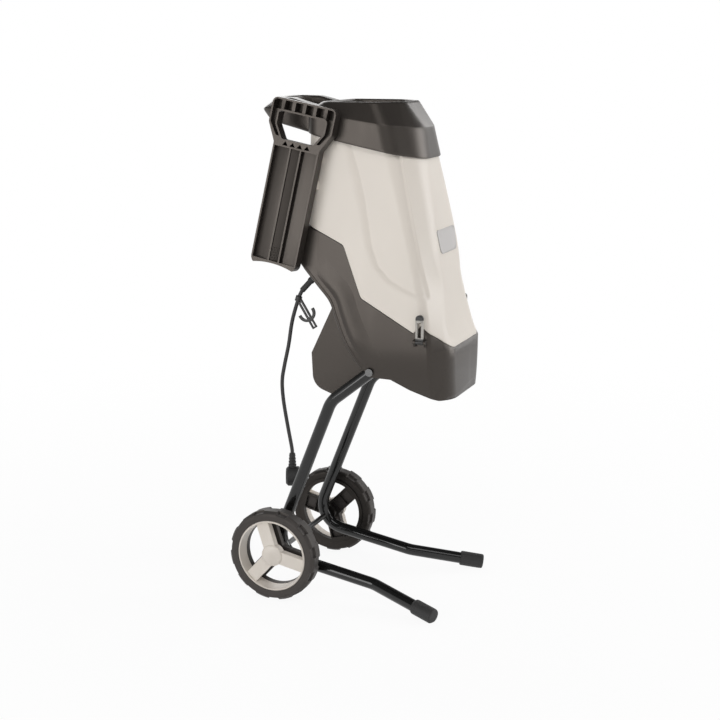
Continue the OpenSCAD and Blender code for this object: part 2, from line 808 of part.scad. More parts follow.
// Knives with one bevelled cutting edge over the disc slot
module knives() {
  color("#d9dcdf") in_body() at_knives() difference() {
    rotate([90, 0, 90]) linear_extrude(knife_l) polygon([
      [-knife_w / 2, 0], [knife_w / 2, 0], [knife_w / 2 - 7, knife_h], [-knife_w / 2, knife_h]]);
    for (x = knife_screw_at) translate([x, 0, -over])
      cylinder(h = knife_h + 2 * over, d = knife_screw_d + 2 * press);
  }
}

module knife_screws() {
  color("#77797d") in_body() at_knives() for (x = knife_screw_at)
    translate([x, 0, knife_h]) screw(knife_screw_d, knife_h + disc_h, 11, 3.5);
}

module disc_nut() {
  color("#77797d") in_body() on_motor(disc_z + disc_h) difference() {
    union() {
      cylinder(h = 2.5, r = shaft_d / 2 + 6);
      translate([0, 0, 2.5 - press]) cylinder(h = 8, d = shaft_d + 4, $fn = 6);
    }
    translate([0, 0, -over]) cylinder(h = 20, d = shaft_d - 4 + 2 * press);
  }
}

// Switch and overload breaker on the rear panel, local Z out of the panel
rocker_r = 12;
rocker_l = 20;
rocker_pin_d = 4;
rocker_sunk = 6;
off_tilt = -7;
flange_t = 2;

module switch_body() {
  color(black) in_body() on_panel(switch_x, panel_mid) difference() {
    union() {
      translate([-switch_w / 2, -switch_l / 2, -26]) cube([switch_w, switch_l, 26 + press]);
      translate([-switch_w / 2 - 3, -switch_l / 2 - 3, 0])
        cube([switch_w + 6, switch_l + 6, flange_t]);
    }
    translate([0, 0, -rocker_sunk]) rotate([0, 90, 0])
      cylinder(h = rocker_l + 2 * part_gap, r = rocker_r + part_gap, center = true);
    translate([0, 0, -rocker_sunk]) rotate([0, 90, 0])
      cylinder(h = rocker_l + 6, d = rocker_pin_d + 2 * running, center = true);
  }
}

module rocker_switch() {
  color("#a3231f") in_body() on_panel(switch_x, panel_mid) translate([0, 0, -rocker_sunk])
    rotate([off_tilt, 0, 0]) difference() {
      union() {
        rotate([0, 90, 0]) cylinder(h = rocker_l, r = rocker_r, center = true);
        rotate([0, 90, 0]) cylinder(h = rocker_l + 5, d = rocker_pin_d, center = true);
      }
      for (lean = [-1, 1]) rotate([lean * 12, 0, 0])
        translate([-rocker_l, lean > 0 ? 0 : -40, rocker_sunk + 3]) cube([2 * rocker_l, 40, 20]);
    }
}

button_d = 8;
button_out = 7;
button_travel = 3;
module overload_breaker() {
  color(black) in_body() on_panel(breaker_x, panel_mid) difference() {
    union() {
      translate([0, 0, -24]) cylinder(h = 24 + press, d = breaker_d);
      cylinder(h = 3, d = breaker_d + 6);
    }
    translate([0, 0, -10 - button_travel])
      cylinder(h = 40, d = button_d + 2 * running);
  }
}

module reset_button() {
  color("#b8b2a8") in_body() on_panel(breaker_x, panel_mid)
    translate([0, 0, -9]) cylinder(h = 9 + button_out, d = button_d);
}

// Loop latch, pivot at its lower end, over the catch of the hopper
module latch(side) {
  slot_w = 6.6;
  color(black) in_body() scale_side(side)
    translate([latch_pin_x, latch_y, latch_z]) difference() {
      union() {
        rotate([90, 0, 0]) cylinder(h = latch_w, d = 8, center = true);
        translate([-latch_t / 2, -latch_w / 2, 0])
          cube([latch_t, latch_w, latch_len - latch_w / 2]);
        translate([0, 0, latch_len - latch_w / 2]) rotate([0, 90, 0])
          cylinder(h = latch_t, d = latch_w, center = true);
        translate([latch_t / 2 - 1, 0, latch_len - latch_w / 2]) rotate([0, 90, 0])
          cylinder(h = 4, d = latch_w - 2);
      }
      translate([-latch_t, -slot_w / 2, 8]) cube([2 * latch_t, slot_w, latch_len - 19]);
      rotate([90, 0, 0]) cylinder(h = 40, d = latch_pin_d + 2 * running, center = true);
    }
}

module latch_pins() {
  span = latch_w + 2 * lug_t + 2 * latch_side_gap;
  color(steel) in_body() both_sides() translate([latch_pin_x, latch_y, latch_z])
    rotate([90, 0, 0]) cylinder(h = span, d = latch_pin_d, center = true);
}

module hinge_pins() {
  span = knuckle_w + 2 * ear_w + 2 * part_gap;
  color(steel) in_body() both_sides() translate([hinge_x, hinge_y, hinge_z])
    rotate([0, 90, 0]) cylinder(h = span, d = hinge_pin_d, center = true);
}

// Hopper
skirt_front = -64;
skirt_z = 372;
skirt_lap = 12;
skirt_slope = tan(skirt_rise);
function skirt_edge(y) = skirt_z + (y - skirt_front) * skirt_slope;

// Everything above the sloping skirt edge raised by d
module above_skirt(d) {
  side_prism([[-250, skirt_edge(-250) + d], [300, skirt_edge(300) + d], [300, 560], [-250, 560]],
    160);
}

catch_z = latch_z + latch_len - 15;
catch_w = 6;
catch_h = 4.5;
catch_tip = latch_pin_x - latch_t / 2 - part_gap;
peg_d = 8;
peg_at = [[-34, -16], [-36, -62]];
peg_len = 7;

// Outline of the sunk side panels, round at its foot and open into the collar
side_panel = [[-105, 137], [-34, 150], [6, 215], [66, top_z], [-34, top_z]];
panel_rounds = [6, 55, 60, 1, 1];

// What the side panels take from a body drawn in by d, their outline grown by the same
module panel_cut(d) {
  difference() {
    side_prism(rounded(inset(side_panel, -d), panel_rounds), 140);
    body_loft(panel_heights, d + panel_sink);
  }
}

module hopper_shell() {
  color(cream) in_body() difference() {
    union() {
      difference() {
        intersection() {
          body_loft(hopper_heights, 0);
          side_prism(hopper_outline, 140);
        }
        difference() {
          body_loft(void_heights, wall);
          panel_cut(wall);
        }
        panel_cut(0);
        above_skirt(skirt_lap);
      }
      both_sides() translate([catch_tip - 12, latch_y - catch_w / 2, catch_z - catch_h])
        cube([12, catch_w, catch_h]);
      both_sides() translate([hinge_x, hinge_y, hinge_z]) hinge_ear(1, knuckle_w);
      for (p = peg_at) in_pusher() translate([0, p.x, p.y]) {
        translate([0.3, 0, 0]) rotate([0, 90, 0]) cylinder(h = 14, d = peg_d + 7);
        rotate([0, -90, 0]) translate([0, 0, -over]) cylinder(h = peg_len + over, d = peg_d);
      }
    }
    both_sides() translate([hinge_x, hinge_y, hinge_z]) rotate([0, 90, 0])
      cylinder(h = 60, d = hinge_pin_d + 2 * running, center = true);
  }
}

// Collar sections: skirt, crease and rim
rim_front = -36;
rim_rear = 108;
function rim_section(z, w, y0, y1, r) = [for (p = rounded(
    [[-w * 0.5, y0], [w * 0.5, y0], [w, y0 + 42], [w, y1], [-w, y1], [-w, y0 + 42]],
    [r, r, r, 20, 20, r])) [p.x, p.y, z]];

function crease_height(y) = crease_z + max(0, y + front_top) * tan(crease_rise);

module hood(d) {
  grow = skirt_grow - d;
  loft([
    section(320, -grow), section(360, -grow), section(400, -grow),
    [for (p = section(crease_z, -grow)) [p.x, p.y, crease_height(p.y)]],
    rim_section(rim_z - (d > 0 ? 4 : 0), rim_half_w - d, rim_front + d, rim_rear - d, 30 - d)]);
}

module feed_mouth(z, h, d) {
  translate([0, 0, z]) linear_extrude(h) polygon(rounded(
    inset([[-rim_half_w * 0.5, rim_front], [rim_half_w * 0.5, rim_front],
      [rim_half_w, rim_front + 42], [rim_half_w, rim_rear], [-rim_half_w, rim_rear],
      [-rim_half_w, rim_front + 42]], d), 14));
}

handle_top = 475;
handle_end = 230;
module carrying_handle() {
  side = [[96, 461], [128, 465], [165, handle_top], [208, handle_top - 1], [handle_end, 454],
    [219, 438], [177, 426], [112, 409]];
  plan = rounded([[-84, 92], [84, 92], [80, 130], [handle_half_w, 206], [56, handle_end + 4],
    [-56, handle_end + 4], [-handle_half_w, 206], [-80, 130]], [2, 2, 40, 18, 14, 14, 18, 40]);
  hole = rounded([[-hand_hole_half_w, 142], [hand_hole_half_w, 142],
    [hand_hole_half_w - 6, 192], [6 - hand_hole_half_w, 192]], 14);
  difference() {
    intersection() {
      side_prism([for (i = [len(side) - 1 : -1 : 0]) side[i]], 2 * handle_half_w);
      linear_extrude(2 * handle_top) polygon(plan);
    }
    linear_extrude(2 * handle_top) polygon(hole);
  }
}

module hopper_collar() {
  color(dark) in_body() difference() {
    union() {
      intersection() {
        hood(0);
        above_skirt(0);
      }
      carrying_handle();
    }
    hood(skirt_grow - part_gap);
    feed_mouth(rim_z - 20, 40, rim_lip);
  }
}

// Feed chute from the rim lip down to the knives
throat_z = deck_z + bowl_h + 5;
throat_half_w = 45;
throat_front = -99;
throat_rear = -32;
feed_t = 3;
module feed_chute() {
  top = rim_z - 4 - part_gap;
  inside = rim_lip + 1;
  function frame(z, w, y0, y1, cut, d) =
    [for (p = inset([[cut - w, y0], [w - cut, y0], [w, y0 + cut], [w, y1], [-w, y1],
      [-w, y0 + cut]], d)) [p.x, p.y, z]];
  function throat(z, d) = frame(z, throat_half_w, throat_front, throat_rear, 10, d);
  function mouth(z, d) =
    frame(z, rim_half_w - inside, rim_front + 22, rim_rear - inside, 34, d);
  color(dark) in_body() difference() {
    union() {
      loft([throat(throat_z, 0), mouth(top - feed_t, 0)]);
      feed_mouth(top - feed_t, feed_t, rim_lip - 1.5);
    }
    loft([throat(throat_z - over, feed_t), mouth(top + over, feed_t)]);
  }
}

// Pusher, local Z up the blade, local -X towards its open ribbed face
pusher_back = 104;
pusher_y = 132;
pusher_z = 393;
module in_pusher() {
  translate([-pusher_back, pusher_y, pusher_z]) rotate([pusher_tilt, pusher_lean, 0]) children();
}

// Slab in local Y and Z, from depth a to depth b behind the ribbed face
module pusher_slab(outline, a, b) {
  translate([-b, 0, 0]) rotate([90, 0, 90]) linear_extrude(b - a) polygon(outline);
}

module pusher() {
  half = pusher_w / 2;
  grip = grip_w / 2;
  grip_z = 74;
  grip_low = 30;
  blade_top = -8;
  skin = 3;
  rib = 3;
  rib_at = 10;
  rungs = 5;
  outline = [[-half, -pusher_len], [half, -pusher_len], [half, -2], [grip, grip_low],
    [grip, grip_z], [-grip, grip_z], [-grip, grip_low], [-half, -2]];
  frame = [[-half, 6], [half, 6], [grip, grip_low], [grip, grip_z], [-grip, grip_z],
    [-grip, grip_low]];
  hole = [[-30, 5], [30, 5], [45, 29], [45, 52], [-45, 52], [-45, 29]];
  channels = [[skin - half, -rib_at - rib / 2], [rib / 2 - rib_at, rib_at - rib / 2],
    [rib_at + rib / 2, half - skin]];
  color(dark) in_body() in_pusher() difference() {
    pusher_slab(rounded(outline, [14, 14, 8, 10, 10, 10, 10, 8]), 0, pusher_t);
    pusher_slab(rounded(hole, 5), -over, pusher_t + over);
    difference() {
      pusher_slab(rounded(inset(frame, skin), 6), skin, pusher_t + over);
      pusher_slab(rounded(inset(hole, -skin), 8), 0, pusher_t + 2 * over);
      for (k = [1 : rungs]) let (y = (2 * k / (rungs + 1) - 1) * grip)
        pusher_slab([[y - rib, 52], [y + rib, 52], [y + rib, grip_z], [y - rib, grip_z]],
          0, pusher_t - skin);
    }
    for (c = channels) pusher_slab([[c.x, 12 - pusher_len], [c.y, 12 - pusher_len],
      [c.y, blade_top], [c.x, blade_top]], skin, pusher_t + over);
    for (k = [0 : 3]) let (y = 14 * k - 26)
      pusher_slab([[y, blade_top + rib], [y + 11, blade_top + rib], [y + 5.5, 2.5]], skin,
        pusher_t + over);
    for (p = peg_at) translate([0, p.x, p.y]) rotate([0, 90, 0])
      cylinder(h = 3 * skin, d = peg_d + 2 * running, center = true);
    translate([-pusher_t / 2, 0, -pusher_len - 150 + 8]) rotate([0, 90, 0])
      cylinder(h = 2 * pusher_t, r = 150, center = true, $fn = 96);
  }
}

// Mains lead: gland and sleeve on the panel, hanging cord, hook and plug
gland_d = 14;
sleeve_dir = unit([0, 0.68, -0.73]);
gland_point = [-cord_x, panel_top.x + panel_dir.x * gland_s, panel_top.y + panel_dir.y * gland_s];
sleeve_end = gland_point + sleeve_dir * sleeve_len;
cord_route = [[sleeve_end.y, sleeve_end.z], [163, 112], [176, 70], [184, 24], [193, -16],
  [198, -46], [196, -82], [188, -130], [180, -172], [179, -184]];
cord_sides = 10;
cord_steps = 2;

function spline(p, i, t) =
  let (a = p[max(i - 1, 0)], b = p[i], c = p[i + 1], d = p[min(i + 2, len(p) - 1)])
  0.5 * (2 * b + (c - a) * t + (2 * a - 5 * b + 4 * c - d) * t * t
    + (3 * b - a - 3 * c + d) * t * t * t);

cord_line = concat(
  [for (i = [0 : len(cord_route) - 2], k = [0 : cord_steps - 1])
    spline(cord_route, i, k / cord_steps)],
  [cord_route[len(cord_route) - 1]]);
cord_stop = cord_line[len(cord_line) - 1];

module cord() {
  last = len(cord_line) - 1;
  ways = [for (i = [0 : last])
    i == 0 ? [sleeve_dir.y, sleeve_dir.z]
      : unit(cord_line[min(i + 1, last)] - cord_line[i - 1])];
  rings = [for (i = [last : -1 : 0]) [for (k = [0 : cord_sides - 1])
    let (a = 360 * k / cord_sides, s = sin(a) * cord_d / 2)
    [-cord_x + cos(a) * cord_d / 2, cord_line[i].x - ways[i].y * s, cord_line[i].y + ways[i].x * s]]];
  color(black) in_body() loft(rings);
}

module cord_gland() {
  color(black) in_body() {
    on_panel(-cord_x, gland_s) translate([0, 0, -8]) cylinder(h = 8 + press, d = gland_d);
    on_panel(-cord_x, gland_s) cylinder(h = 4, d = gland_d + 6);
    rod(gland_point, sleeve_end - sleeve_dir * sleeve_len * 0.45, cord_d + 6);
    rod(gland_point, sleeve_end, cord_d + 3.5);
  }
}

// Anchor-shaped hook that slides on the cord
hook_at = [163, 112];
hook_len = 62;
hook_t = 5;
module cord_hook() {
  way = unit(cord_route[2] - cord_route[0]);
  color(black) in_body() translate([-cord_x, hook_at.x, hook_at.y]) difference() {
    union() {
      rotate([atan2(-way.x, way.y), 0, 0]) cylinder(h = 9, d = cord_d + 5, center = true);
      rotate([-122, 0, 0]) rotate([90, 0, 90]) linear_extrude(hook_t, center = true) difference() {
        union() {
          translate([4, -4.5]) square([hook_len - 4, 9]);
          translate([30, 0]) difference() {
            circle(r = 17);
            circle(r = 12.5);
            translate([-20, -20]) square([18, 40]);
          }
        }
        translate([9, -1.8]) square([30, 3.6]);
        translate([48, -2.2]) square([hook_len - 51, 4.4]);
      }
    }
    rotate([atan2(-way.x, way.y), 0, 0])
      cylinder(h = 40, d = cord_d + 0.6, center = true);
  }
}

// Angled plug: round body across the machine, ribbed entry on top, pins inwards
plug_r = 18.5;
plug_t = 24;
entry_len = 30;
module plug() {
  color(black) in_body() translate([-cord_x, cord_stop.x, cord_stop.y - entry_len - plug_r + 4]) {
    rotate([0, 90, 0]) rotate_extrude() polygon([
      [0, -plug_t / 2], [plug_r - 4, -plug_t / 2], [plug_r, 4 - plug_t / 2],
      [plug_r, plug_t / 2], [0, plug_t / 2]]);
    translate([0, 0, plug_r - 6]) cylinder(h = entry_len + 2, d = cord_d + 4);
    for (k = [0 : 3]) translate([0, 0, plug_r + 2 + 6 * k]) cylinder(h = 3, d = cord_d + 8 - k);
  }
}

module plug_pins() {
  color(steel) in_body() for (y = [-9.5, 9.5])
    translate([plug_t / 2 - cord_x, cord_stop.x + y, cord_stop.y - entry_len - plug_r + 4])
      rotate([0, 90, 0]) {
        cylinder(h = 18, d = 4.8);
        translate([0, 0, 18 - press]) cylinder(h = 1, d = 3.6);
      }
}

module stand_tube_left() { stand_tube(1); }
module stand_tube_right() { stand_tube(-1); }
module foot_cap_left() { foot_cap(1); }
module foot_cap_right() { foot_cap(-1); }
module wheel_left() { wheel(1); }
module wheel_right() { wheel(-1); }
module wheel_cover_left() { wheel_cover(1); }
module wheel_cover_right() { wheel_cover(-1); }
module latch_left() { latch(1); }
module latch_right() { latch(-1); }

stand_tube_left();
stand_tube_right();
axle();
axle_clips();
foot_cap_left();
foot_cap_right();
stand_bolts();
stand_nuts();
wheel_left();
wheel_right();
wheel_cover_left();
wheel_cover_right();
base_housing();
discharge_chute();
rear_panel();
cutter_deck();
deck_screws();
motor_stator();
field_windings();
motor_bracket();
motor_screws();
brush_holders();
upper_bearing();
lower_bearing();
motor_shaft();
armature();
commutator();
cooling_fan();
knife_disc();
knives();
knife_screws();
disc_nut();
switch_body();
rocker_switch();
overload_breaker();
reset_button();
latch_left();
latch_right();
latch_pins();
hinge_pins();
hopper_shell();
hopper_collar();
feed_chute();
pusher();
cord_gland();
cord();
cord_hook();
plug();
plug_pins();
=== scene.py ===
"""Garden shredder: the moulded shells, tubes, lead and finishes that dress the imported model."""

import json
import math

import bmesh
import bpy
import numpy as np
from bpy.props import FloatProperty, FloatVectorProperty, PointerProperty
from mathutils import Matrix


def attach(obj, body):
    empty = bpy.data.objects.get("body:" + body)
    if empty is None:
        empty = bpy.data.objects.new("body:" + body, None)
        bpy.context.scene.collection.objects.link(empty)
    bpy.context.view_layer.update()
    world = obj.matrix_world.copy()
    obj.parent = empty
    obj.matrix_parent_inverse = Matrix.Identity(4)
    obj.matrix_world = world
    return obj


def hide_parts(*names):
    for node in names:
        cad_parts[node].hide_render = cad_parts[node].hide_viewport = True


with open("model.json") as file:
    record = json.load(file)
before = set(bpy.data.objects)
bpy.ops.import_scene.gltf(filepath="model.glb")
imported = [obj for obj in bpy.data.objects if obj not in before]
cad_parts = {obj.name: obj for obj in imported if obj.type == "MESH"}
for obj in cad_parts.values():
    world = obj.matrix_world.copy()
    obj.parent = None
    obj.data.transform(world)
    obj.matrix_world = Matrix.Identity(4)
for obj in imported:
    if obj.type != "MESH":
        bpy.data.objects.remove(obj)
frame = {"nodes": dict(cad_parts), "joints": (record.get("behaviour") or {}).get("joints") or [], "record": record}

bl_info = {
    "name": "Garden Shredder",
    "version": (1, 0, 0),
    "blender": (4, 5, 0),
    "location": "View3D > Sidebar > Shredder",
    "description": "Dresses the packed shredder with its shells, tubes, lead and finishes",
    "category": "Add Mesh",
}

MM = 0.001
NODE = frame["nodes"]
JOINT = {joint["name"]: joint for joint in frame["joints"]}
BODIES = frame["record"]["behaviour"]["bodies"]
BODY_OF = {node: body for body, nodes in BODIES.items() for node in nodes}
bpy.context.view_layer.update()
# Hinge of the hopper in body millimetres: its Y and Z, and X of the knuckles
HINGE_Y, HINGE_Z, HINGE_X = 134, 256, 60
# Stand bolt, from which body sizes are measured, and the middle of the axle, in metres
BOLT = np.array(JOINT["hopper_tilt"]["pos_m"]) - np.array([0, HINGE_Y, HINGE_Z]) * MM
AXLE = np.array(JOINT["wheel_left_spin"]["pos_m"])


def colour(name, words, rgb):
    return FloatVectorProperty(name=name, description=words, default=rgb, size=3, min=0, max=1,
                               subtype="COLOR")


def length(name, words, metres):
    return FloatProperty(name=name, description=words, default=metres, min=0, unit="LENGTH")


class ShredderSizes(bpy.types.PropertyGroup):
    """Sizes that the pieces are drawn from."""

    shell_wall: length("Shell wall", "Thickness of the hopper shell", 0.003)
    panel_sink: length("Panel depth", "Depth of the sunk side panels of the hopper", 0.0034)
    tube_diameter: length("Tube diameter", "Outer diameter of the stand tubes", 0.022)
    bend_radius: length("Bend radius", "Centre-line radius of the tube bends", 0.048)
    cap_diameter: length("Cap diameter", "Diameter of the rubber foot caps", 0.028)
    cord_diameter: length("Cord diameter", "Diameter of the mains cord", 0.007)
    edge_round: length("Edge rounding", "Rounding of moulded edges", 0.0008)


class ShredderColours(bpy.types.PropertyGroup):
    """Colours of the finishes."""

    cream: colour("Cream", "Hopper shell and wheel covers", (0.70, 0.645, 0.58))
    dark: colour("Dark", "Base, collar and pusher", (0.026, 0.0225, 0.020))
    black: colour("Black", "Small black mouldings", (0.018, 0.017, 0.016))
    coat: colour("Coat", "Powder coat of the tubes", (0.006, 0.006, 0.006))
    tyre: colour("Tyre", "Wheels", (0.04, 0.037, 0.036))
    rubber: colour("Rubber", "Foot caps, lead and plug", (0.022, 0.021, 0.021))
    steel: colour("Steel", "Screws, pins and blades", (0.42, 0.42, 0.43))
    bolt: colour("Bolt", "Axle, stand bolts and nuts", (0.13, 0.13, 0.13))
    core: colour("Core", "Laminated cores of the motor", (0.3, 0.3, 0.31))
    # Pale tone of the latches' bars: a painted highlight on their dark plastic
    bars: colour("Bars", "Bare bars of the latches", (0.4, 0.38, 0.35))
    copper: colour("Copper", "Windings and commutator", (0.62, 0.29, 0.14))
    plate: colour("Plate", "Bare plate on the front", (0.50, 0.48, 0.47))
    red: colour("Red", "Rocker of the switch", (0.42, 0.025, 0.015))


class Value:
    """A number that varies over a surface; arithmetic on it adds Math nodes."""

    def __init__(self, nodes, socket):
        self.nodes = nodes
        self.socket = socket

    def maths(self, operation, first, second):
        return self.nodes.add("ShaderNodeMath", {0: first, 1: second}, operation=operation)

    def larger(self, other):
        return self.maths("MAXIMUM", self, other)

    def __add__(self, other):
        return self.maths("ADD", self, other)

    def __sub__(self, other):
        return self.maths("SUBTRACT", self, other)

    def __rsub__(self, other):
        return self.maths("SUBTRACT", other, self)

    def __mul__(self, other):
        return self.maths("MULTIPLY", self, other)

    __radd__ = __add__


class Nodes:
    """A shader node tree, grown by one call for each node."""

    def __init__(self, tree):
        self.tree = tree

    def add(self, kind, inputs=None, output=0, **settings):
        """Adds a node with its settings, feeds its inputs and gives one of its outputs."""
        node = self.tree.nodes.new(kind)
        for key, value in settings.items():
            setattr(node, key, value)
        for key, value in (inputs or {}).items():
            self.feed(node.inputs[key], value)
        return Value(self, node.outputs[output])

    def feed(self, socket, value):
        if isinstance(value, Value):
            self.tree.links.new(value.socket, socket)
        else:
            socket.default_value = value

    def part(self, vector, axis):
        """One coordinate of a vector."""
        return self.add("ShaderNodeSeparateXYZ", {"Vector": vector}, axis)

    def steps(self, value, low, high):
        """Value spread so that low becomes 0 and high becomes 1, clipped."""
        return self.add("ShaderNodeMapRange", {0: value, 1: low, 2: high})

    def mix(self, share, first, second):
        """Colour between two colours."""
        return self.add("ShaderNodeMix", {0: share, 6: first, 7: second}, 2, data_type="RGBA")

    def seen(self):
        """1 for what the camera sees, straight, mirrored or let through, and 0 for other light."""
        straight, mirrored, through = (
            self.add("ShaderNodeLightPath", output="Is " + kind + " Ray")
            for kind in ("Camera", "Glossy", "Transmission"))
        return straight.larger(mirrored.larger(through))

    def end(self, output, share, first, second):
        """Ends the tree in a mix of two shaders."""
        both = self.add("ShaderNodeMixShader", {0: share, 1: first, 2: second})
        self.feed(self.tree.nodes[output].inputs[0], both)


class Finish(Nodes):
    """One material: its node tree, and the noises and bumps that its shader is fed with."""

    def __init__(self, name):
        self.material = bpy.data.materials.new(name)
        self.material.use_nodes = True
        super().__init__(self.material.node_tree)
        self.shader = self.tree.nodes["Principled BSDF"]
        self.place = self.add("ShaderNodeTexCoord", output="Object")

    def noise(self, scale, detail, stretch=(1, 1, 1)):
        """Noise between 0 and 1, scale in features per metre."""
        at = self.place
        if stretch != (1, 1, 1):
            at = self.add("ShaderNodeMapping", {"Vector": at, "Scale": stretch})
        return self.add("ShaderNodeTexNoise", {"Vector": at, "Scale": scale, "Detail": detail})

    def bump(self, height, strength, distance):
        return self.add("ShaderNodeBump",
                        {"Height": height, "Strength": strength, "Distance": distance})

    def surface(self, **sockets):
        """Feeds the shader; an underscore in a name stands for a space."""
        for key, value in sockets.items():
            self.feed(self.shader.inputs[key.replace("_", " ")], value)
        return self.material


def tint(rgb, gain):
    return [min(1.0, c * gain) for c in rgb] + [1.0]


# Painted shade on the wheels' inner faces: tyres are blacker nearer the machine's middle plane than this, turning
# so over a fade, in metres
TYRE_SHADE_WITHIN, SHADE_FADE = 0.1275, 0.003
# Heights between which a latch's bars carry a pale painted highlight, and over which it fades, in metres
HIGHLIGHT_LOW, HIGHLIGHT_HIGH, HIGHLIGHT_FADE = 0.506, 0.5385, 0.002


def moulded(name, rgb, rough, grain, depth, sheen=0.5, streak=0.0, warm=(1, 1, 1), shade_within=0):
    """Injection-moulded plastic: cloudy tone, spark-eroded grain, faint rub marks, tinted sheen.

    Nearer the machine's middle plane than the distance given, in metres, it has a blacker tone: painted shade
    where the inner faces lie in shade.
    """
    f = Finish(name)
    cloud = f.noise(7, 3)
    rub = f.steps(f.noise(38, 5, (1, 1, 0.25)), 0.52, 0.78)
    fine = f.noise(grain, 1)
    tone = f.mix(cloud, tint(rgb, 0.93), tint(rgb, 1.07))
    if streak:
        tone = f.mix(rub * streak, tone, tint(rgb, 1.6))
    # Painted shade: a blacker tone near the middle plane, where the inner faces lie in shade
    if shade_within:
        x = f.part(f.place, "X")
        inner = f.steps(x.larger(0 - x), shade_within, shade_within - SHADE_FADE)
        tone = f.mix(inner, tone, tint(rgb, 0.2))
    gloss = rough + (fine - 0.5) * 0.16 + (cloud - 0.5) * 0.1 - rub * 0.06
    return f.surface(Base_Color=tone, Roughness=gloss, Normal=f.bump(fine, 0.35, depth),
                     Specular_IOR_Level=sheen, Specular_Tint=(*warm, 1))


def latch_bars(name, rgb, bars):
    """Black latch whose two bars carry a pale painted highlight between its pivot and its rounded tip."""
    f = Finish(name)
    height = f.part(f.place, "Z")
    # Painted highlight: a pale band on the bars between two heights
    painted_highlight = (f.steps(height, HIGHLIGHT_LOW, HIGHLIGHT_LOW + HIGHLIGHT_FADE)
            * (1 - f.steps(height, HIGHLIGHT_HIGH, HIGHLIGHT_HIGH + HIGHLIGHT_FADE)))
    rub = f.noise(240, 3, (1, 1, 0.2))
    highlight_tone = f.mix(rub, tint(bars, 0.8), tint(bars, 1.1))
    return f.surface(Base_Color=f.mix(painted_highlight, tint(rgb, 1), highlight_tone),
                     Roughness=0.42 - painted_highlight * 0.1 + (rub - 0.5) * 0.1,
                     Normal=f.bump(rub, 0.2, 0.0001))


def powder_coat(name, rgb):
    """Stoved gloss coat on steel tube, with a slight orange peel and dust."""
    f = Finish(name)
    peel = f.noise(420, 2)
    dust = f.steps(f.noise(55, 6), 0.55, 0.85)
    return f.surface(Base_Color=f.mix(dust * 0.5, tint(rgb, 1), tint(rgb, 3)),
                     Roughness=0.11 + dust * 0.1, Normal=f.bump(peel, 0.05, 0.00025),
                     Specular_IOR_Level=0.5)


def soft_rubber(name, rgb, rough=0.62):
    """Matt rubber with bloom in patches and a fine skin."""
    f = Finish(name)
    bloom = f.steps(f.noise(30, 4), 0.4, 0.8)
    skin = f.noise(2200, 1)
    return f.surface(Base_Color=f.mix(bloom * 0.6, tint(rgb, 0.9), tint(rgb, 1.7)),
                     Roughness=rough + (skin - 0.5) * 0.2 + bloom * 0.08,
                     Normal=f.bump(skin, 0.4, 0.00015))


def plated(name, rgb, rough, lines=(1, 1, 1)):
    """Plated or ground steel: cloudy gloss with fine lines along one axis."""
    f = Finish(name)
    cloud = f.noise(60, 4)
    line = f.noise(900, 2, lines)
    return f.surface(Base_Color=f.mix(cloud, tint(rgb, 0.85), tint(rgb, 1.08)), Metallic=1.0,
                     Roughness=rough + (line - 0.5) * 0.18 + (cloud - 0.5) * 0.1,
                     Normal=f.bump(line, 0.15, 0.0001))


def wound_wire(name, rgb):
    """Enamelled wire wound in turns, and the laminations of the cores, as fine bands along Z."""
    f = Finish(name)
    turns = f.add("ShaderNodeTexWave", {"Vector": f.place, "Scale": 280.0, "Distortion": 0.6}, 1,
                  bands_direction="Z")
    return f.surface(Base_Color=f.mix(turns, tint(rgb, 0.6), tint(rgb, 1.1)), Metallic=0.6,
                     Roughness=0.5 - turns * 0.15, Normal=f.bump(turns, 0.5, 0.0004))


# Finishes by name, filled before the first piece is made, and the tint of the dark plastics' sheen
MATERIALS = {}
WARM = (1.0, 0.89, 0.80)


def made(context):
    """Sizes to build with; every finish of the machine is made once, before the first piece."""
    colours = context.scene.shredder_colours
    if not MATERIALS:
        MATERIALS.update(
            cream=moulded("cream_plastic", colours.cream, 0.42, 1700, 0.00007),
            cover=moulded("cover_plastic", colours.cream, 0.38, 1700, 0.00006),
            dark=moulded("dark_grained_plastic", colours.dark, 0.35, 1300, 0.00012, 0.52, 0.12,
                         WARM),
            # Tyres and hubs carry painted shade, blacker on their inner faces
            tyre=moulded("tyre_plastic", colours.tyre, 0.52, 1500, 0.00014, 0.4, 0.2, WARM,
                         shade_within=TYRE_SHADE_WITHIN),
            black=moulded("black_plastic", colours.black, 0.4, 1800, 0.0001),
            # Latches with a painted highlight on their bars
            latch=latch_bars("latch_plastic", colours.black, colours.bars),
            red=moulded("red_plastic", colours.red, 0.3, 2000, 0.00004),
            coat=powder_coat("black_powder_coat", colours.coat),
            rubber=soft_rubber("black_rubber", colours.rubber),
            lead=soft_rubber("lead_sheath", colours.rubber, 0.5),
            steel=plated("zinc_plate", colours.steel, 0.24),
            bolt=plated("dark_zinc_plate", colours.bolt, 0.32),
            blade=plated("ground_steel", colours.steel, 0.3, (1, 0.05, 1)),
            plate=moulded("bare_plate", colours.plate, 0.4, 1900, 0.00005),
            copper=wound_wire("wound_copper", colours.copper),
            core=wound_wire("core_steel", colours.core))
    return context.scene.shredder_sizes


def smooth(mesh, degrees):
    """Shades a mesh smooth but for edges sharper than an angle."""
    mesh.shade_smooth()
    mesh.set_sharp_from_angle(angle=math.radians(degrees))


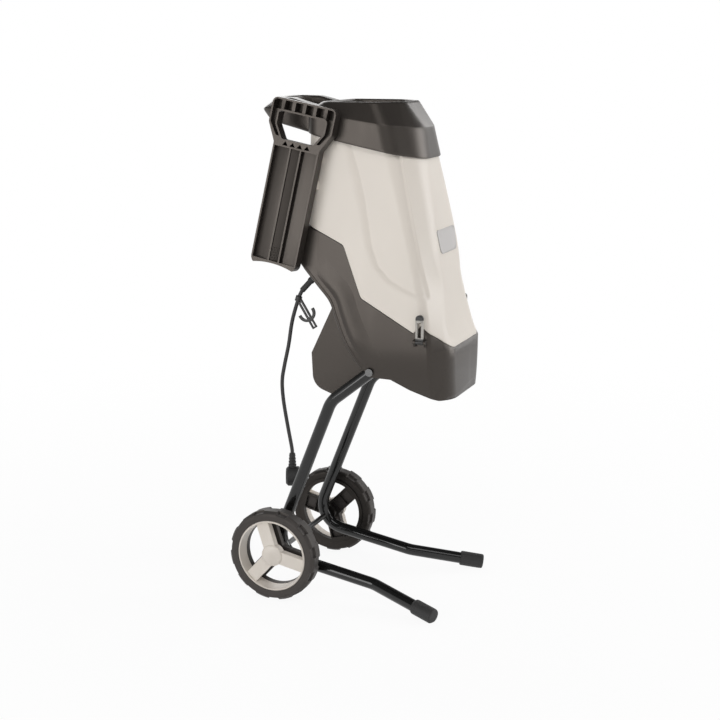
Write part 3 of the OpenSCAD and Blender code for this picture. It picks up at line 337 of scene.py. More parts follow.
def grid_mesh(name, points, wrap=True, caps=True):
    """Mesh of a grid of points (rows v, columns u): one quad between each four neighbours.

    Wrap closes the grid on itself along u, and caps put one face on its first and last row.
    """
    rows, columns = points.shape[:2]
    index = np.arange(rows * columns).reshape(rows, columns)
    ring = np.column_stack([index, index[:, 0]]) if wrap else index
    quads = np.stack([ring[:-1, :-1], ring[:-1, 1:], ring[1:, 1:], ring[1:, :-1]], -1)
    faces = quads.reshape(-1, 4).tolist()
    if caps:
        faces += [index[0, ::-1].tolist(), index[-1].tolist()]
    mesh = bpy.data.meshes.new(name)
    mesh.from_pydata(points.reshape(-1, 3).tolist(), [], faces)
    mesh.validate()
    smooth(mesh, 50)
    return mesh


def place_piece(name, mesh, finish, node, adds=False):
    """Links a finished mesh as a piece that goes with a CAD node, on its body.

    It stands for the node unless it only adds to it.
    """
    piece = bpy.data.objects.new(name, mesh)
    bpy.context.scene.collection.objects.link(piece)
    mesh.materials.clear()
    mesh.materials.append(MATERIALS[finish])
    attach(piece, BODY_OF[node])
    if not adds:
        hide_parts(node)
    return piece


def grid_piece(name, points, finish, node, adds=False, caps=True):
    """Piece made of one grid of points."""
    return place_piece(name, grid_mesh(name, points, caps=caps), finish, node, adds)


def joined_piece(name, meshes, finish, node, adds=True):
    """Piece joined from several meshes, vertices and faces appended."""
    build = bmesh.new()
    for mesh in meshes:
        build.from_mesh(mesh)
        bpy.data.meshes.remove(mesh)
    joined = bpy.data.meshes.new(name)
    build.to_mesh(joined)
    build.free()
    return place_piece(name, joined, finish, node, adds)


def read(items, key, each, kind):
    """An attribute of a mesh's vertices, loops or faces, each with so many numbers, as an array."""
    numbers = np.empty(len(items) * each, kind)
    items.foreach_get(key, numbers)
    return numbers.reshape(-1, each) if each > 1 else numbers


def turned(axis, degrees, at):
    """Turn about an axis through a point."""
    shift = Matrix.Translation([float(c) for c in at])
    return shift @ Matrix.Rotation(math.radians(degrees), 4, axis) @ shift.inverted()


def fine_copy(node, finish, rounding, angle=35, turn=None, source=None):
    """Copy of a CAD node: doubles welded, flat faces joined, edges rounded, shading smooth.

    The copy may be turned, and may start from a part of the node's faces.
    """
    build = bmesh.new()
    build.from_mesh(source or NODE[node].data)
    if turn:
        build.transform(turn)
    bmesh.ops.remove_doubles(build, verts=build.verts, dist=2e-6)
    bmesh.ops.dissolve_limit(build, angle_limit=math.radians(0.4), verts=build.verts,
                             edges=build.edges)
    mesh = bpy.data.meshes.new(node + "_fine")
    build.to_mesh(mesh)
    build.free()
    smooth(mesh, angle)
    piece = place_piece(node + "_fine", mesh, finish, node)
    if rounding > 0:
        bevel = piece.modifiers.new("rounding", "BEVEL")
        bevel.width = rounding
        bevel.segments = 2
        bevel.limit_method = "ANGLE"
        bevel.angle_limit = math.radians(angle)
        bevel.harden_normals = True
        bevel.use_clamp_overlap = True
    return piece


def unit(v):
    return v / np.linalg.norm(v, axis=-1, keepdims=True)


def ease(t):
    """Smooth step from 0 to 1."""
    t = np.clip(t, 0, 1)
    return t * t * (3 - 2 * t)


def lerp(a, b, t):
    return a + (b - a) * t


def resampled(points, at, places):
    """Points of a line at other places along it, straight between its own places."""
    return np.stack([np.interp(places, at, column) for column in points.T], -1)


def leftward(way):
    """Flat directions a quarter turn counter-clockwise of others."""
    return np.stack([-way[..., 1], way[..., 0]], -1)


def sides(corners):
    """Directions of the side before and the side after each corner of polygons."""
    return unit(corners - np.roll(corners, 1, 1)), unit(np.roll(corners, -1, 1) - corners)


def draw_in(corners, d):
    """Polygons (heights, corners, 2), counter-clockwise, with every side moved inwards by d."""
    na, nb = (leftward(way) for way in sides(corners))
    return corners + (na + nb) * d / (1 + (na * nb).sum(-1, keepdims=True))


def round_off(corners, radii, arc_steps, edge_steps):
    """Polygons with rounded corners as equal rings of points.

    Each corner becomes an arc of its radius, tangent to both sides, and each side is cut into
    equal steps.
    """
    a, b = sides(corners)
    bend = np.sign(a[..., 0] * b[..., 1] - a[..., 1] * b[..., 0])[..., None]
    turn = np.arccos(np.clip((a * b).sum(-1), -1, 1))[..., None]
    radii = radii[..., None]
    start = corners - a * radii * np.tan(turn / 2)
    stop = corners + b * radii * np.tan(turn / 2)
    side = bend * leftward(a)
    parts = []
    count = corners.shape[1]
    for i in range(count):
        angle = turn[:, i, :] * np.linspace(0, 1, arc_steps[i] + 1)
        arc = (start[:, i, None] + a[:, i, None] * (radii[:, i] * np.sin(angle))[..., None]
               + side[:, i, None] * (radii[:, i] * (1 - np.cos(angle)))[..., None])
        share = np.linspace(0, 1, edge_steps[i] + 2)[1:-1, None]
        edge = lerp(stop[:, i, None], start[:, (i + 1) % count, None], share)
        parts += [arc, edge]
    return np.concatenate(parts, 1)


# Body sizes in millimetres from the stand bolt, and the steps round its six corners and sides
SEAM_Z, TOP_Z, FLOOR_Z, REAR_Y = 45, 432, -46, 126
ARC_STEPS = [12, 12, 14, 8, 8, 14]
EDGE_STEPS = [10, 26, 88, 14, 88, 26]
# Its outline at the seam and at the top: half width, half width of the front, how far the front
# lies ahead, and Y of the corners between flank and front
HALF, FACE, AHEAD, CORNER_Y = (118, 93), (79, 42), (131.5, 62), (-111.5, -17)
# Radii of the front and flank corners at the seam and at the top, and of the rear corners
FRONT_R, FLANK_R, REAR_R = (50, 80), (14, 36), 22
# How far each flank is drawn in at the floor and each side of the front at the waist, the waist's
# height, and how much further ahead the belly and the flare at its foot bring the front
TUCK, WAIST, WAIST_Z, BELLY, FLARE = 20, 16, 150, 4, 11


def up_share(z):
    return np.clip((z - SEAM_Z) / (TOP_Z - SEAM_Z), 0, 1)


def half_width(z):
    """Half width of the body at heights z: widest at the seam, drawn in above and below."""
    down = np.clip((SEAM_Z - z) / (SEAM_Z - FLOOR_Z), 0, 1)
    return lerp(*HALF, up_share(z) ** 1.35) - TUCK * down ** 2


def body_rings(z, grow=0.0):
    """Outline of the body at heights z (mm), moved outwards by grow.

    Half width falls to the top, the front leans back with a belly, narrows to a waist below the
    plate and flares at its foot, and the corner between flank and front runs from 31 behind the
    front to 45 behind it.
    """
    t = up_share(z)
    half = half_width(z)
    waist = WAIST * np.exp(-((z - WAIST_Z) / 40) ** 2)
    belly, flare = BELLY * np.sin(np.pi * t) ** 2, FLARE * np.exp((SEAM_Z - z) / 24)
    face = lerp(*FACE, t ** 0.8) - waist
    front = -lerp(*AHEAD, t) - belly - flare
    side = lerp(*CORNER_Y, t ** 1.3)
    rear = np.full_like(z, REAR_Y)
    outline = ((-face, front), (face, front), (half, side), (half, rear), (-half, rear),
               (-half, side))
    corners = np.stack([np.stack(point, -1) for point in outline], 1)
    nose, flank, back = lerp(*FRONT_R, t), lerp(*FLANK_R, t), np.full_like(z, REAR_R)
    radii = np.stack([nose, nose, flank, back, back, flank], -1) + grow
    return round_off(draw_in(corners, -grow), radii, ARC_STEPS, EDGE_STEPS)


def on_table(table, z_low, z_step, z):
    """Points at heights z (rows, columns) of a table of rings, straight between its rings."""
    at = np.clip((z - z_low) / z_step, 0, len(table) - 1.001)
    k = at.astype(int)
    share = (at - k)[..., None]
    column = np.broadcast_to(np.arange(z.shape[1]), z.shape)
    flat = table[k, column] * (1 - share) + table[k + 1, column] * share
    return np.concatenate([flat, z[..., None]], -1)


def to_row(points):
    """Body millimetres to the row frame in metres."""
    return points * MM + BOLT


def bent(p, q, s, radius, count=5):
    """Arc of a radius that rounds the corner q between p and s."""
    p, q, s = (np.array(v, float) for v in (p, q, s))
    a, b = unit(q - p), unit(s - q)
    turn = math.acos(a @ b)
    side = unit(b - a * (a @ b))
    angle = np.linspace(0, turn, count)[:, None]
    start = q - a * radius * math.tan(turn / 2)
    return start + a * radius * np.sin(angle) + side * radius * (1 - np.cos(angle))


# Seam between hopper and base, Y and Z, from the front to the rear, and its open gap
SEAM = np.concatenate([
    [[-220, 45], [-142, 45], [-96, 90], [-82, 76]],
    bent((-82, 76), (17, 131), (52, 222), 12),
    bent((17, 131), (52, 222), (122, 255), 12),
    [[122, 255], [170, 277.7]]])
SEAM_GAP = 1.2
# Rear edge of the sunk side panel, Z and Y, from its round foot to the collar
PANEL_REAR = np.array([
    [124, -150], [129, -104], [136, -74], [148, -44], [163, -20], [186, 0], [222, 15],
    [262, 24], [302, 34], [341, 46], [391, 65], [440, 84]])
# Its front edge: Y at the top, and how far it runs forward over a height
PANEL_FRONT, PANEL_RUN, PANEL_RISE = -34, 71, 295


def seam_height(y):
    return np.interp(y, SEAM[:, 0], SEAM[:, 1])


def panel_rear(z):
    return np.interp(z, PANEL_REAR[:, 0], PANEL_REAR[:, 1])


def panel_depth(y, z, sink):
    """Sinking of the side panel, in the unit of sink.

    A ramp over a band along the rear edge that steepens as a square and ends at once, wider
    towards the collar, times a short step along the straight front edge.
    """
    slope = (panel_rear(z + 6) - panel_rear(z - 6)) / 12
    inside = (panel_rear(z) - y) / np.sqrt(1 + slope ** 2)
    band = lerp(13.0, 21.0, ease((z - 150) / 240))
    front = PANEL_FRONT - PANEL_RUN * (TOP_Z - z) / PANEL_RISE
    return sink * np.clip(inside / band, 0, 1) ** 2 * ease((y - front) / 3.5)


def sunk(rings, z, sink):
    """Rings of the body pressed in where the side panels are, along their inward normals."""
    inward = leftward(unit(np.roll(rings, -1, -2) - np.roll(rings, 1, -2)))
    side = ease((np.abs(rings[..., 0]) - 40) / 20)
    return rings + inward * (panel_depth(rings[..., 1], z, sink) * side)[..., None]


def rounded_bar(name, start, stop, wide, high, radius, turn_to=(0, 1, 0)):
    """Bar with rounded edges: a rounded rectangle carried from start to stop, drawn in at its ends.

    turn_to is the direction of the rectangle's width; all in body millimetres.
    """
    start, stop = np.array(start, float), np.array(stop, float)
    way = unit(stop - start)
    reach = np.linalg.norm(stop - start)
    u = unit(np.array(turn_to, float))
    v = np.cross(way, u)
    angle = np.linspace(0, np.pi / 2, 5)
    end = radius * (1 - np.cos(angle))
    at = np.concatenate([end, reach - end[::-1]])
    bow = np.sin(angle)
    less = radius * (1 - np.concatenate([bow, bow[::-1]]))[:, None]
    w, h = wide / 2 - less, high / 2 - less
    corners = np.stack([np.concatenate(c, -1) for c in ((-w, -h), (w, -h), (w, h), (-w, h))], 1)
    flat = round_off(corners, np.full(corners.shape[:2], radius), [4] * 4, [0] * 4)
    grid = start + way * at[:, None, None] + u * flat[..., :1] + v * flat[..., 1:]
    return grid_mesh(name, to_row(grid))


WHITE, DIM = (1, 1, 1, 1), (0.1, 0.1, 0.1, 1)
# Camera: place in metres, turn and tilt in degrees, focal length and sensor in millimetres
CAMERA_AT, CAMERA_TURN, CAMERA_TILT = (-2.3662, -0.9467, 0.9996), -68.10, 12.57
CAMERA_LENS, CAMERA_SENSOR = 70.34, 36
# Lamps: place and size in metres, power in watts; all point at one place
LAMPS = (
    ("side_lamp", (-2.6, 1.05, 0.85), 1.6, 24),
    ("front_lamp", (1.5, -2.5, 1.2), 1.5, 29),
    ("corner_lamp", (0.25, -2.3, 2.4), 0.7, 4),
    ("far_lamp", (2.7, -0.95, 1.75), 0.9, 8),
    ("top_lamp", (-1.7, -0.9, 2.7), 1.8, 18),
    ("back_lamp", (2.0, 1.6, 2.0), 2.0, 24))
LAMP_AIM = np.array([0, 0, 0.5])
# Strength of the even light, and the rise of view between which the backdrop turns dim
AMBIENT, DIM_FROM, DIM_TO = 0.38, 0.2, 0.45
# Floor: half its width, the share of its own white that the camera sees near the machine, and the
# distances between which it turns wholly white
FLOOR_HALF, FLOOR_GLOW, WHITE_FROM, WHITE_TO = 7, 0.92, 0.5, 2.0


class SHREDDER_OT_stage(bpy.types.Operator):
    """Pale floor, soft studio lamps and the camera"""

    bl_idname = "shredder.stage"
    bl_label = "Stage"

    def execute(self, context):
        scene = context.scene
        scene.view_settings.view_transform = "Standard"
        turn, tilt = math.radians(CAMERA_TURN), math.radians(CAMERA_TILT)
        back = np.array([math.sin(turn) * math.cos(tilt), -math.cos(turn) * math.cos(tilt),
                         math.sin(tilt)])
        lens = bpy.data.cameras.new("camera")
        lens.lens, lens.sensor_width = CAMERA_LENS, CAMERA_SENSOR
        scene.camera = self.put(scene, lens, CAMERA_AT, back)
        for name, at, size, watts in LAMPS:
            lamp = bpy.data.lights.new(name, "AREA")
            lamp.shape, lamp.size, lamp.energy = "DISK", size, watts
            self.put(scene, lamp, at, unit(np.array(at) - LAMP_AIM))
        self.backdrop(scene)
        self.floor(scene)
        return {"FINISHED"}

    def put(self, scene, data, at, back):
        """Links a level camera or lamp at a place, facing away from back."""
        right = unit(np.cross([0, 0, 1], back))
        pose = np.eye(4)
        pose[:3] = np.column_stack([right, np.cross(back, right), back, at])
        holder = bpy.data.objects.new(data.name, data)
        holder.matrix_world = Matrix(pose.tolist())
        scene.collection.objects.link(holder)
        return holder

    def backdrop(self, scene):
        """Even soft light, which the camera sees as white low down and as dim higher up."""
        world = bpy.data.worlds.new("studio")
        world.use_nodes = True
        scene.world = world
        sky = Nodes(world.node_tree)
        even = sky.tree.nodes["Background"]
        sky.feed(even.inputs["Color"], WHITE)
        sky.feed(even.inputs["Strength"], AMBIENT)
        height = sky.part(sky.add("ShaderNodeTexCoord", output="Generated"), "Z")
        shade = sky.mix(sky.steps(height, DIM_FROM, DIM_TO), WHITE, DIM)
        shown = sky.add("ShaderNodeBackground", {"Color": shade, "Strength": 1.0})
        sky.end("World Output", sky.seen(), Value(sky, even.outputs[0]), shown)

    def floor(self, scene):
        """Floor that takes faint shadows near the machine and is plain white far away."""
        u, v = np.meshgrid(*[np.linspace(-FLOOR_HALF, FLOOR_HALF, 9)] * 2)
        sheet = grid_mesh("floor", np.stack([u, v, np.zeros_like(u)], -1), wrap=False, caps=False)
        floor = bpy.data.objects.new("floor", sheet)
        scene.collection.objects.link(floor)
        pale = Finish("pale_floor")
        pale.surface(Base_Color=(0.86, 0.86, 0.86, 1), Roughness=0.9, Specular_IOR_Level=0.1)
        glow = pale.add("ShaderNodeEmission", {"Color": WHITE, "Strength": 1.0})
        away = pale.add("ShaderNodeVectorMath", {0: pale.place}, "Value", operation="LENGTH")
        white = FLOOR_GLOW + pale.steps(away, WHITE_FROM, WHITE_TO) * (1 - FLOOR_GLOW)
        pale.end("Material Output", pale.seen() * white, Value(pale, pale.shader.outputs[0]), glow)
        sheet.materials.append(pale.material)


# Mains cord in body millimetres: its X, and Y and Z of its route from the sleeve to the plug
CORD_X = -55
CORD_ROUTE = np.array([[155.44, 127.61], [163, 112], [176, 70], [184, 24], [193, -16],
                       [198, -46], [196, -82], [188, -130], [180, -172], [179, -184]])
# Degrees by which the plug has twisted on its hanging cord
PLUG_TURN = -68


def smooth_route(points, steps):
    """Curve through points, one cubic for each stretch.

    Its slope at each point is half the chord between the two neighbours.
    """
    p = np.concatenate([points[:1], points, points[-1:]])
    a, b, c, d = (p[i:len(p) - 3 + i, None] for i in range(4))
    t = np.linspace(0, 1, steps, endpoint=False)[:, None]
    curve = 0.5 * (2 * b + (c - a) * t + (2 * a - 5 * b + 4 * c - d) * t ** 2
                   + (3 * b - a - 3 * c + d) * t ** 3)
    return np.concatenate([curve.reshape(-1, points.shape[1]), points[-1:]])


def swept_tube(path, radii, count):
    """Grid of a circle of count points carried along a path; the ring stands square to the path.

    The ring's first axis is X less its share along the path, and the second is square to both.
    """
    way = unit(np.gradient(path, axis=0))
    first = unit(np.array([1.0, 0, 0]) - way * way[:, :1])
    second = np.cross(way, first)
    angle = np.linspace(0, 2 * np.pi, count, endpoint=False)[:, None]
    ring = first[:, None] * np.cos(angle) + second[:, None] * np.sin(angle)
    return path[:, None] + ring * np.broadcast_to(radii, len(path))[:, None, None]


class SHREDDER_OT_lead(bpy.types.Operator):
    """Mains cord that hangs from its sleeve to the plug"""

    bl_idname = "shredder.lead"
    bl_label = "Mains lead"

    def execute(self, context):
        sizes = made(context)
        route = smooth_route(CORD_ROUTE, 6)
        path = to_row(np.column_stack([np.full(len(route), CORD_X), route]))
        tube = swept_tube(path, sizes.cord_diameter / 2, 20)
        cord = grid_piece("mains_cord", tube, "lead", "cord")
        hang = turned("Z", PLUG_TURN, path[-1])
        pieces = [fine_copy("cord_hook", "black", 0.0006),
                  fine_copy("plug", "rubber", 0.0005, turn=hang),
                  fine_copy("plug_pins", "steel", 0.0004, turn=hang)]
        fine_copy("cord_gland", "rubber", 0.0006)
        return {"FINISHED"}


# Stand tube of the left side: X of its leg, and the corners of its centre line from the base to
# the foot, in millimetres across from the leg, along from the axle and up from the floor
TUBE_X = 98.0
TUBE = np.array([[0, -198.41, 454.75], [0, -95.749, 373.377], [0, 24.418, 71.409],
                 [0, -179.374, 35.108], [48, -306.374, 12.5]])
# Foot cap: places along the foot from the tube's end, and its radius there at the usual diameter
CAP_AT = np.array([-38, -37.6, -36.5, -35, -30, -10, 0, 3, 5, 6.2, 6.8, 7, 7, 7])
CAP_R = np.array([11.1, 13, 13.7, 14, 14, 14, 14, 14, 13.8, 13.2, 12.4, 11.6, 8, 0.2])
CAP_USUAL = 0.028


class SHREDDER_OT_stand(bpy.types.Operator):
    """Bent tubes of the stand and their rubber foot caps"""

    bl_idname = "shredder.stand"
    bl_label = "Stand"

    def execute(self, context):
        sizes = made(context)
        bends = [bent(*TUBE[i:i + 3], sizes.bend_radius / MM, 14) for i in range(3)]
        line = np.concatenate([TUBE[:1], *bends, TUBE[-1:]])
        at = np.concatenate([[0], np.cumsum(np.linalg.norm(np.diff(line, axis=0), axis=1))])
        line = resampled(line, at, np.unique(np.concatenate([at, np.arange(0, at[-1], 12)])))
        foot_way = unit(TUBE[-1] - TUBE[-2])
        girth = CAP_R * sizes.cap_diameter / CAP_USUAL
        for side, name in ((1, "left"), (-1, "right")):
            shift = np.array([side * TUBE_X, AXLE[1] / MM, 0])
            mirror = np.array([side, 1, 1])
            tube = swept_tube((line * mirror + shift) * MM, sizes.tube_diameter / 2, 40)
            grid_piece("tube_" + name, tube, "coat", "stand_tube_" + name)
            spine = (TUBE[-1] + np.outer(CAP_AT, foot_way)) * mirror + shift
            ring = swept_tube(np.outer([0, 1], foot_way * mirror), 1, 48)[0]
            cap = spine[:, None] + ring * girth[:, None, None]
            cap[..., 2] = np.maximum(cap[..., 2], 0)
            grid_piece("foot_" + name, cap * MM, "rubber", "foot_cap_" + name)
        return {"FINISHED"}


# Collar in body millimetres: height of its crease at the front, the skirt's step off the shell,
# the height above which the skirt is led to the crease, and the height of the rim
CREASE_Z, SKIRT_STEP, SKIRT_TOP, RIM_Z = 425.0, 4.0, 400.0, 468.0
# Front of the skirt's lower edge, Y and Z, front of the crease, Y, and the degrees by which each
# rises to the rear
SKIRT_Y, SKIRT_Z, SKIRT_RISE = -64, 372, 12.5
CREASE_Y, CREASE_RISE = -62, 8
# Stowed pusher: its place in body millimetres, its tilt along the flank and its lean against it
PUSHER_AT = (-104, 132, 393)
PUSHER_TILT, PUSHER_LEAN = math.radians(11), math.radians(5)


def skirt_edge(y):
    """Height of the collar's lower edge, rising to the rear."""
    return SKIRT_Z + (y - SKIRT_Y) * math.tan(math.radians(SKIRT_RISE))


def crease_height(y):
    """Height of the collar's crease, rising to the rear."""
    return CREASE_Z + np.maximum(0, y - CREASE_Y) * math.tan(math.radians(CREASE_RISE))


def on_pusher(y, z, depth):
    """Body millimetres of a point across, along and out of the stowed pusher."""
    rise = y * math.sin(PUSHER_TILT) + z * math.cos(PUSHER_TILT)
    return np.stack(np.broadcast_arrays(
        PUSHER_AT[0] + rise * math.sin(PUSHER_LEAN) - depth * math.cos(PUSHER_LEAN),
        PUSHER_AT[1] + y * math.cos(PUSHER_TILT) - z * math.sin(PUSHER_TILT),
        PUSHER_AT[2] + rise * math.cos(PUSHER_LEAN) + depth * math.sin(PUSHER_LEAN)), -1)


# Shift along Y that keeps the shell's edge off the sloping parts of the seam
SEAM_SHIFT = 0.36
# Catches of the latches and leaves of the hinge, Y and Z, and from which X to which a catch runs
CATCH, LEAF = (-96, 93.7), (128.5, 263)
CATCH_IN, CATCH_OUT = 107, 119.6
# The pusher's two pegs, across and along the pusher
PEGS = ((-34, -16), (-36, -62))
# Front plate: height of its middle, and the rings from its middle to its rim, as a share of the
# outline and a lift off the front
PLATE_Z = 227
PLATE_SHRINK = np.array([0.02, 0.4, 0.8, 0.925, 0.94, 0.955, 0.985, 1.0, 1.0])
PLATE_LIFT = np.array([0.5, 0.5, 0.5, 0.5, 1.2, 1.6, 1.5, 1.0, -0.6])


class SHREDDER_OT_hopper(bpy.types.Operator):
    """Cream hopper shell with its sunk side panels, catches, knuckles and plain front plate"""

    bl_idname = "shredder.hopper"
    bl_label = "Hopper shell"

    def execute(self, context):
        sizes = made(context)
        low, step = 30.0, 3.0
        levels = np.arange(low, 460, step)
        table = body_rings(levels)
        gap = levels[:, None] - seam_height(table[..., 1] + SEAM_SHIFT) - SEAM_GAP
        last = len(levels) - 1 - np.argmax(gap[::-1] < 0, 0)
        column = np.arange(table.shape[1])
        under, over = gap[last, column], gap[last + 1, column]
        foot = levels[last] - step * under / (over - under)
        head = skirt_edge(table[np.searchsorted(levels, 390), :, 1]) + 12
        z = lerp(foot, head, np.linspace(0, 1, 124)[:, None] ** 1.1)
        shell = on_table(table, low, step, z)
        shell[..., :2] = sunk(shell[..., :2], z, sizes.panel_sink / MM)
        skin = grid_piece("hopper_skin", to_row(shell), "cream", "hopper_shell", caps=False)
        solid = skin.modifiers.new("wall", "SOLIDIFY")
        solid.thickness, solid.offset = sizes.shell_wall, -1
        joined_piece("hopper_bits", self.bits(), "cream", "hopper_shell")
        place_piece("front_plate", self.plate(), "plate", "hopper_shell", adds=True)
        return {"FINISHED"}

    def bits(self):
        """Catches of the latches, hinge knuckles with their leaves, and the pusher's two pegs."""
        bits = []
        for side in (-1, 1):
            x = side * HINGE_X
            bits += [
                rounded_bar("catch", (side * CATCH_IN, *CATCH), (side * CATCH_OUT, *CATCH),
                            6, 4.5, 1.0),
                rounded_bar("knuckle", (x - 8, HINGE_Y, HINGE_Z), (x + 8, HINGE_Y, HINGE_Z),
                            14, 14, 6.9),
                rounded_bar("leaf", (x - 7.9, *LEAF), (x + 7.9, *LEAF), 11, 14, 1.2)]
        for y, z in PEGS:
            bits += [
                rounded_bar("boss", on_pusher(y, z, -12), on_pusher(y, z, -0.3), 15, 15, 1.5),
                rounded_bar("peg", on_pusher(y, z, -1.3), on_pusher(y, z, 7), 8, 8, 3.9)]
        return bits

    def plate(self):
        """Bare plate on the front: rings of a rounded outline shrunk to its middle, with a rim.

        Each point lies ahead of the body's front at its height by the ring's own lift.
        """
        outline = round_off(np.array([[[-43.0, -21], [43, -21], [48, 21], [-48, 21]]]),
                            np.array([[12.0, 12, 5, 5]]), [6] * 4, [12, 8, 14, 8])[0]
        flat = outline[None] * PLATE_SHRINK[:, None, None]
        height = PLATE_Z + flat[..., 1]
        pitch = 2
        levels, across = np.arange(200.0, 264, pitch), np.arange(-56.0, 57, pitch)
        nose = ARC_STEPS[0] + EDGE_STEPS[0] + ARC_STEPS[1] + 2
        face = np.array([np.interp(across, ring[:nose, 0], ring[:nose, 1])
                         for ring in body_rings(levels)])
        column = np.clip((flat[..., 0] - across[0]) / pitch, 0, len(across) - 1.001)
        row = np.clip((height - levels[0]) / pitch, 0, len(levels) - 1.001)
        i, j = row.astype(int), column.astype(int)
        front = lerp(lerp(face[i, j], face[i, j + 1], column - j),
                     lerp(face[i + 1, j], face[i + 1, j + 1], column - j), row - i)
        grid = np.stack([flat[..., 0], front - PLATE_LIFT[:, None], height], -1)
        return grid_mesh("front_plate", to_row(grid)[::-1])


# Skirt's lower edge from inside to outside: lift above the edge and step off the shell
SKIRT_HEM = ((10, 0.6), (1.2, 0.6), (0.3, 1.2), (0, 2.0), (0, 3.0), (0.3, 3.6), (1.2, SKIRT_STEP))
# Rim from outside to inside: height and distance drawn in
RIM_ROWS = ((467.6, 0.4), (468.3, 1.4), (468.4, 2.4), (468.4, 5.5), (468.1, 7.0), (467.0, 7.8),
            (465.5, 8.0), (460.0, 8.0))
# Outer and inner edge of the carrying handle in plan, X and Y, from the collar to its middle
HANDLE_OUT = np.array([[79, 100], [80, 130], [77, 150], [74, 168], [71, 188], [68, 206],
                       [65.5, 216], [61, 225], [53, 231], [40, 233.4], [20, 234], [0, 234]])
HANDLE_IN = np.array([[48, 104], [48, 130], [47.5, 150], [46, 164], [44, 178], [42, 184],
                      [39, 188.5], [35, 190.8], [30, 191.7], [20, 192], [10, 192], [0, 192]])
# Its top and underside along Y: places, and heights there
HANDLE_TOP = ([96, 128, 165, 208, 234], [458, 464, 474, 475, 475])
HANDLE_LOW = ([96, 112, 177, 219, 234], [406, 410, 426, 438, 438])


class SHREDDER_OT_collar(bpy.types.Operator):
    """Dark feed collar with its skirt, hood, rim and carrying handle"""

    bl_idname = "shredder.collar"
    bl_label = "Feed collar"

    def execute(self, context):
        made(context)
        crease = body_rings(np.array([CREASE_Z]), SKIRT_STEP)[0]
        crease = np.column_stack([crease, crease_height(crease[:, 1])])
        edge = skirt_edge(crease[:, 1])
        low, step = 330.0, 2.0
        heights = np.arange(low, SKIRT_TOP + 2 * step, step)

        def skirt(z, grow):
            """Skirt at its own height in each column: the body's outline, led to the crease."""
            under = on_table(body_rings(heights, grow), low, step,
                             np.minimum(z, SKIRT_TOP)[None])[0]
            top = body_rings(np.array([CREASE_Z]), grow)[0]
            share = np.clip((z - SKIRT_TOP) / (crease[:, 2] - SKIRT_TOP), 0, 1)[:, None]
            return np.column_stack([lerp(under[:, :2], top, share), z])

        hem = SKIRT_HEM[-1][0]
        brim = self.rim(RIM_Z, 0.0)
        rows = [skirt(edge + lift, grow) for lift, grow in SKIRT_HEM]
        rows += [skirt(lerp(edge + hem, crease[:, 2] - hem, t), SKIRT_STEP)
                 for t in np.linspace(0.1, 1, 10)]
        rows += [lerp(crease, brim, t) for t in (0.012, 0.035, *np.linspace(0.1, 0.92, 10), 0.96)]
        rows += [self.rim(z, inside) for z, inside in RIM_ROWS]
        hood = grid_mesh("collar_hood", to_row(np.array(rows)), caps=False)
        joined_piece("collar_skin", [hood, self.handle()], "dark", "hopper_collar", adds=False)
        return {"FINISHED"}

    def rim(self, z, inside):
        """Outline of the feed rim at a height, drawn in."""
        w, front, rear = 82.0, -36.0, 108.0
        side = front + 42
        corners = np.array([[[-w / 2, front], [w / 2, front], [w, side], [w, rear], [-w, rear],
                             [-w, side]]])
        radii = np.array([[30, 30, 30, 20, 20, 30.0]]) - inside
        flat = round_off(draw_in(corners, inside), radii, ARC_STEPS, EDGE_STEPS)[0]
        return np.column_stack([flat, np.full(len(flat), z)])

    def handle(self):
        """Loop behind the rim: a rounded five-cornered profile carried along a U in plan.

        Each station has an inner and an outer point in plan; the profile's corners are shares
        across.
        """
        count = 2 * len(HANDLE_OUT) - 1
        places = np.linspace(0, count - 1, 120)
        outer, inner = (resampled(np.concatenate([half, (half * [-1, 1])[-2::-1]]),
                                  np.arange(count), places) for half in (HANDLE_OUT, HANDLE_IN))
        middle = (outer + inner) / 2
        rear = ease((middle[:, 1] - 178) / 28)
        top, low = (np.interp(middle[:, 1], *line) for line in (HANDLE_TOP, HANDLE_LOW))
        zero, one = np.zeros_like(rear), np.ones_like(rear)
        across = np.stack([zero, lerp(one, 0.72, rear), one, lerp(one, 0.34, rear), zero], -1)
        height = np.stack([low, low, lerp((low + top) / 2, 454.0, rear), top, top], -1)
        wide = np.linalg.norm(outer - inner, axis=-1, keepdims=True)
        flat = np.stack([across * wide, height], -1)
        profile = round_off(flat, np.full(flat.shape[:2], 5.0), [5] * 5, [3] * 5)
        share = (profile[..., 0] / wide)[..., None]
        plan = lerp(inner[:, None], outer[:, None], share)
        grid = np.concatenate([plan, profile[..., 1:]], -1)
        return grid_mesh("collar_handle", to_row(grid))


def flank_normals(mesh):
    """Shading normals of the base's flanks from the slope of its half width, without facets."""
    vertex = read(mesh.loops, "vertex_index", 1, np.int32)
    x, _, z = ((read(mesh.vertices, "co", 3, np.float32)[vertex] - BOLT) / MM).T
    count = read(mesh.polygons, "loop_total", 1, np.int32)
    facing = np.repeat(read(mesh.polygons, "normal", 3, np.float32), count, 0)
    slope = (half_width(z + 1) - half_width(z - 1)) / 2
    normal = unit(np.stack([np.sign(x), np.zeros_like(slope), -slope], -1))
    near = np.abs(np.abs(x) - half_width(z)) < 0.7
    flank = near & ((facing * normal).sum(-1) > 0.97)
    mesh.normals_split_custom_set(np.where(flank[:, None], normal, 0).astype(np.float32))


# Rear edge of the base's flank, Y and Z, from the hinge down to the stand bolt
REAR_EDGE = np.array([[141, 199], [100, 153.5], [74, 124], [62, 94], [47, 57], [30, 29], [11, 1.0]])
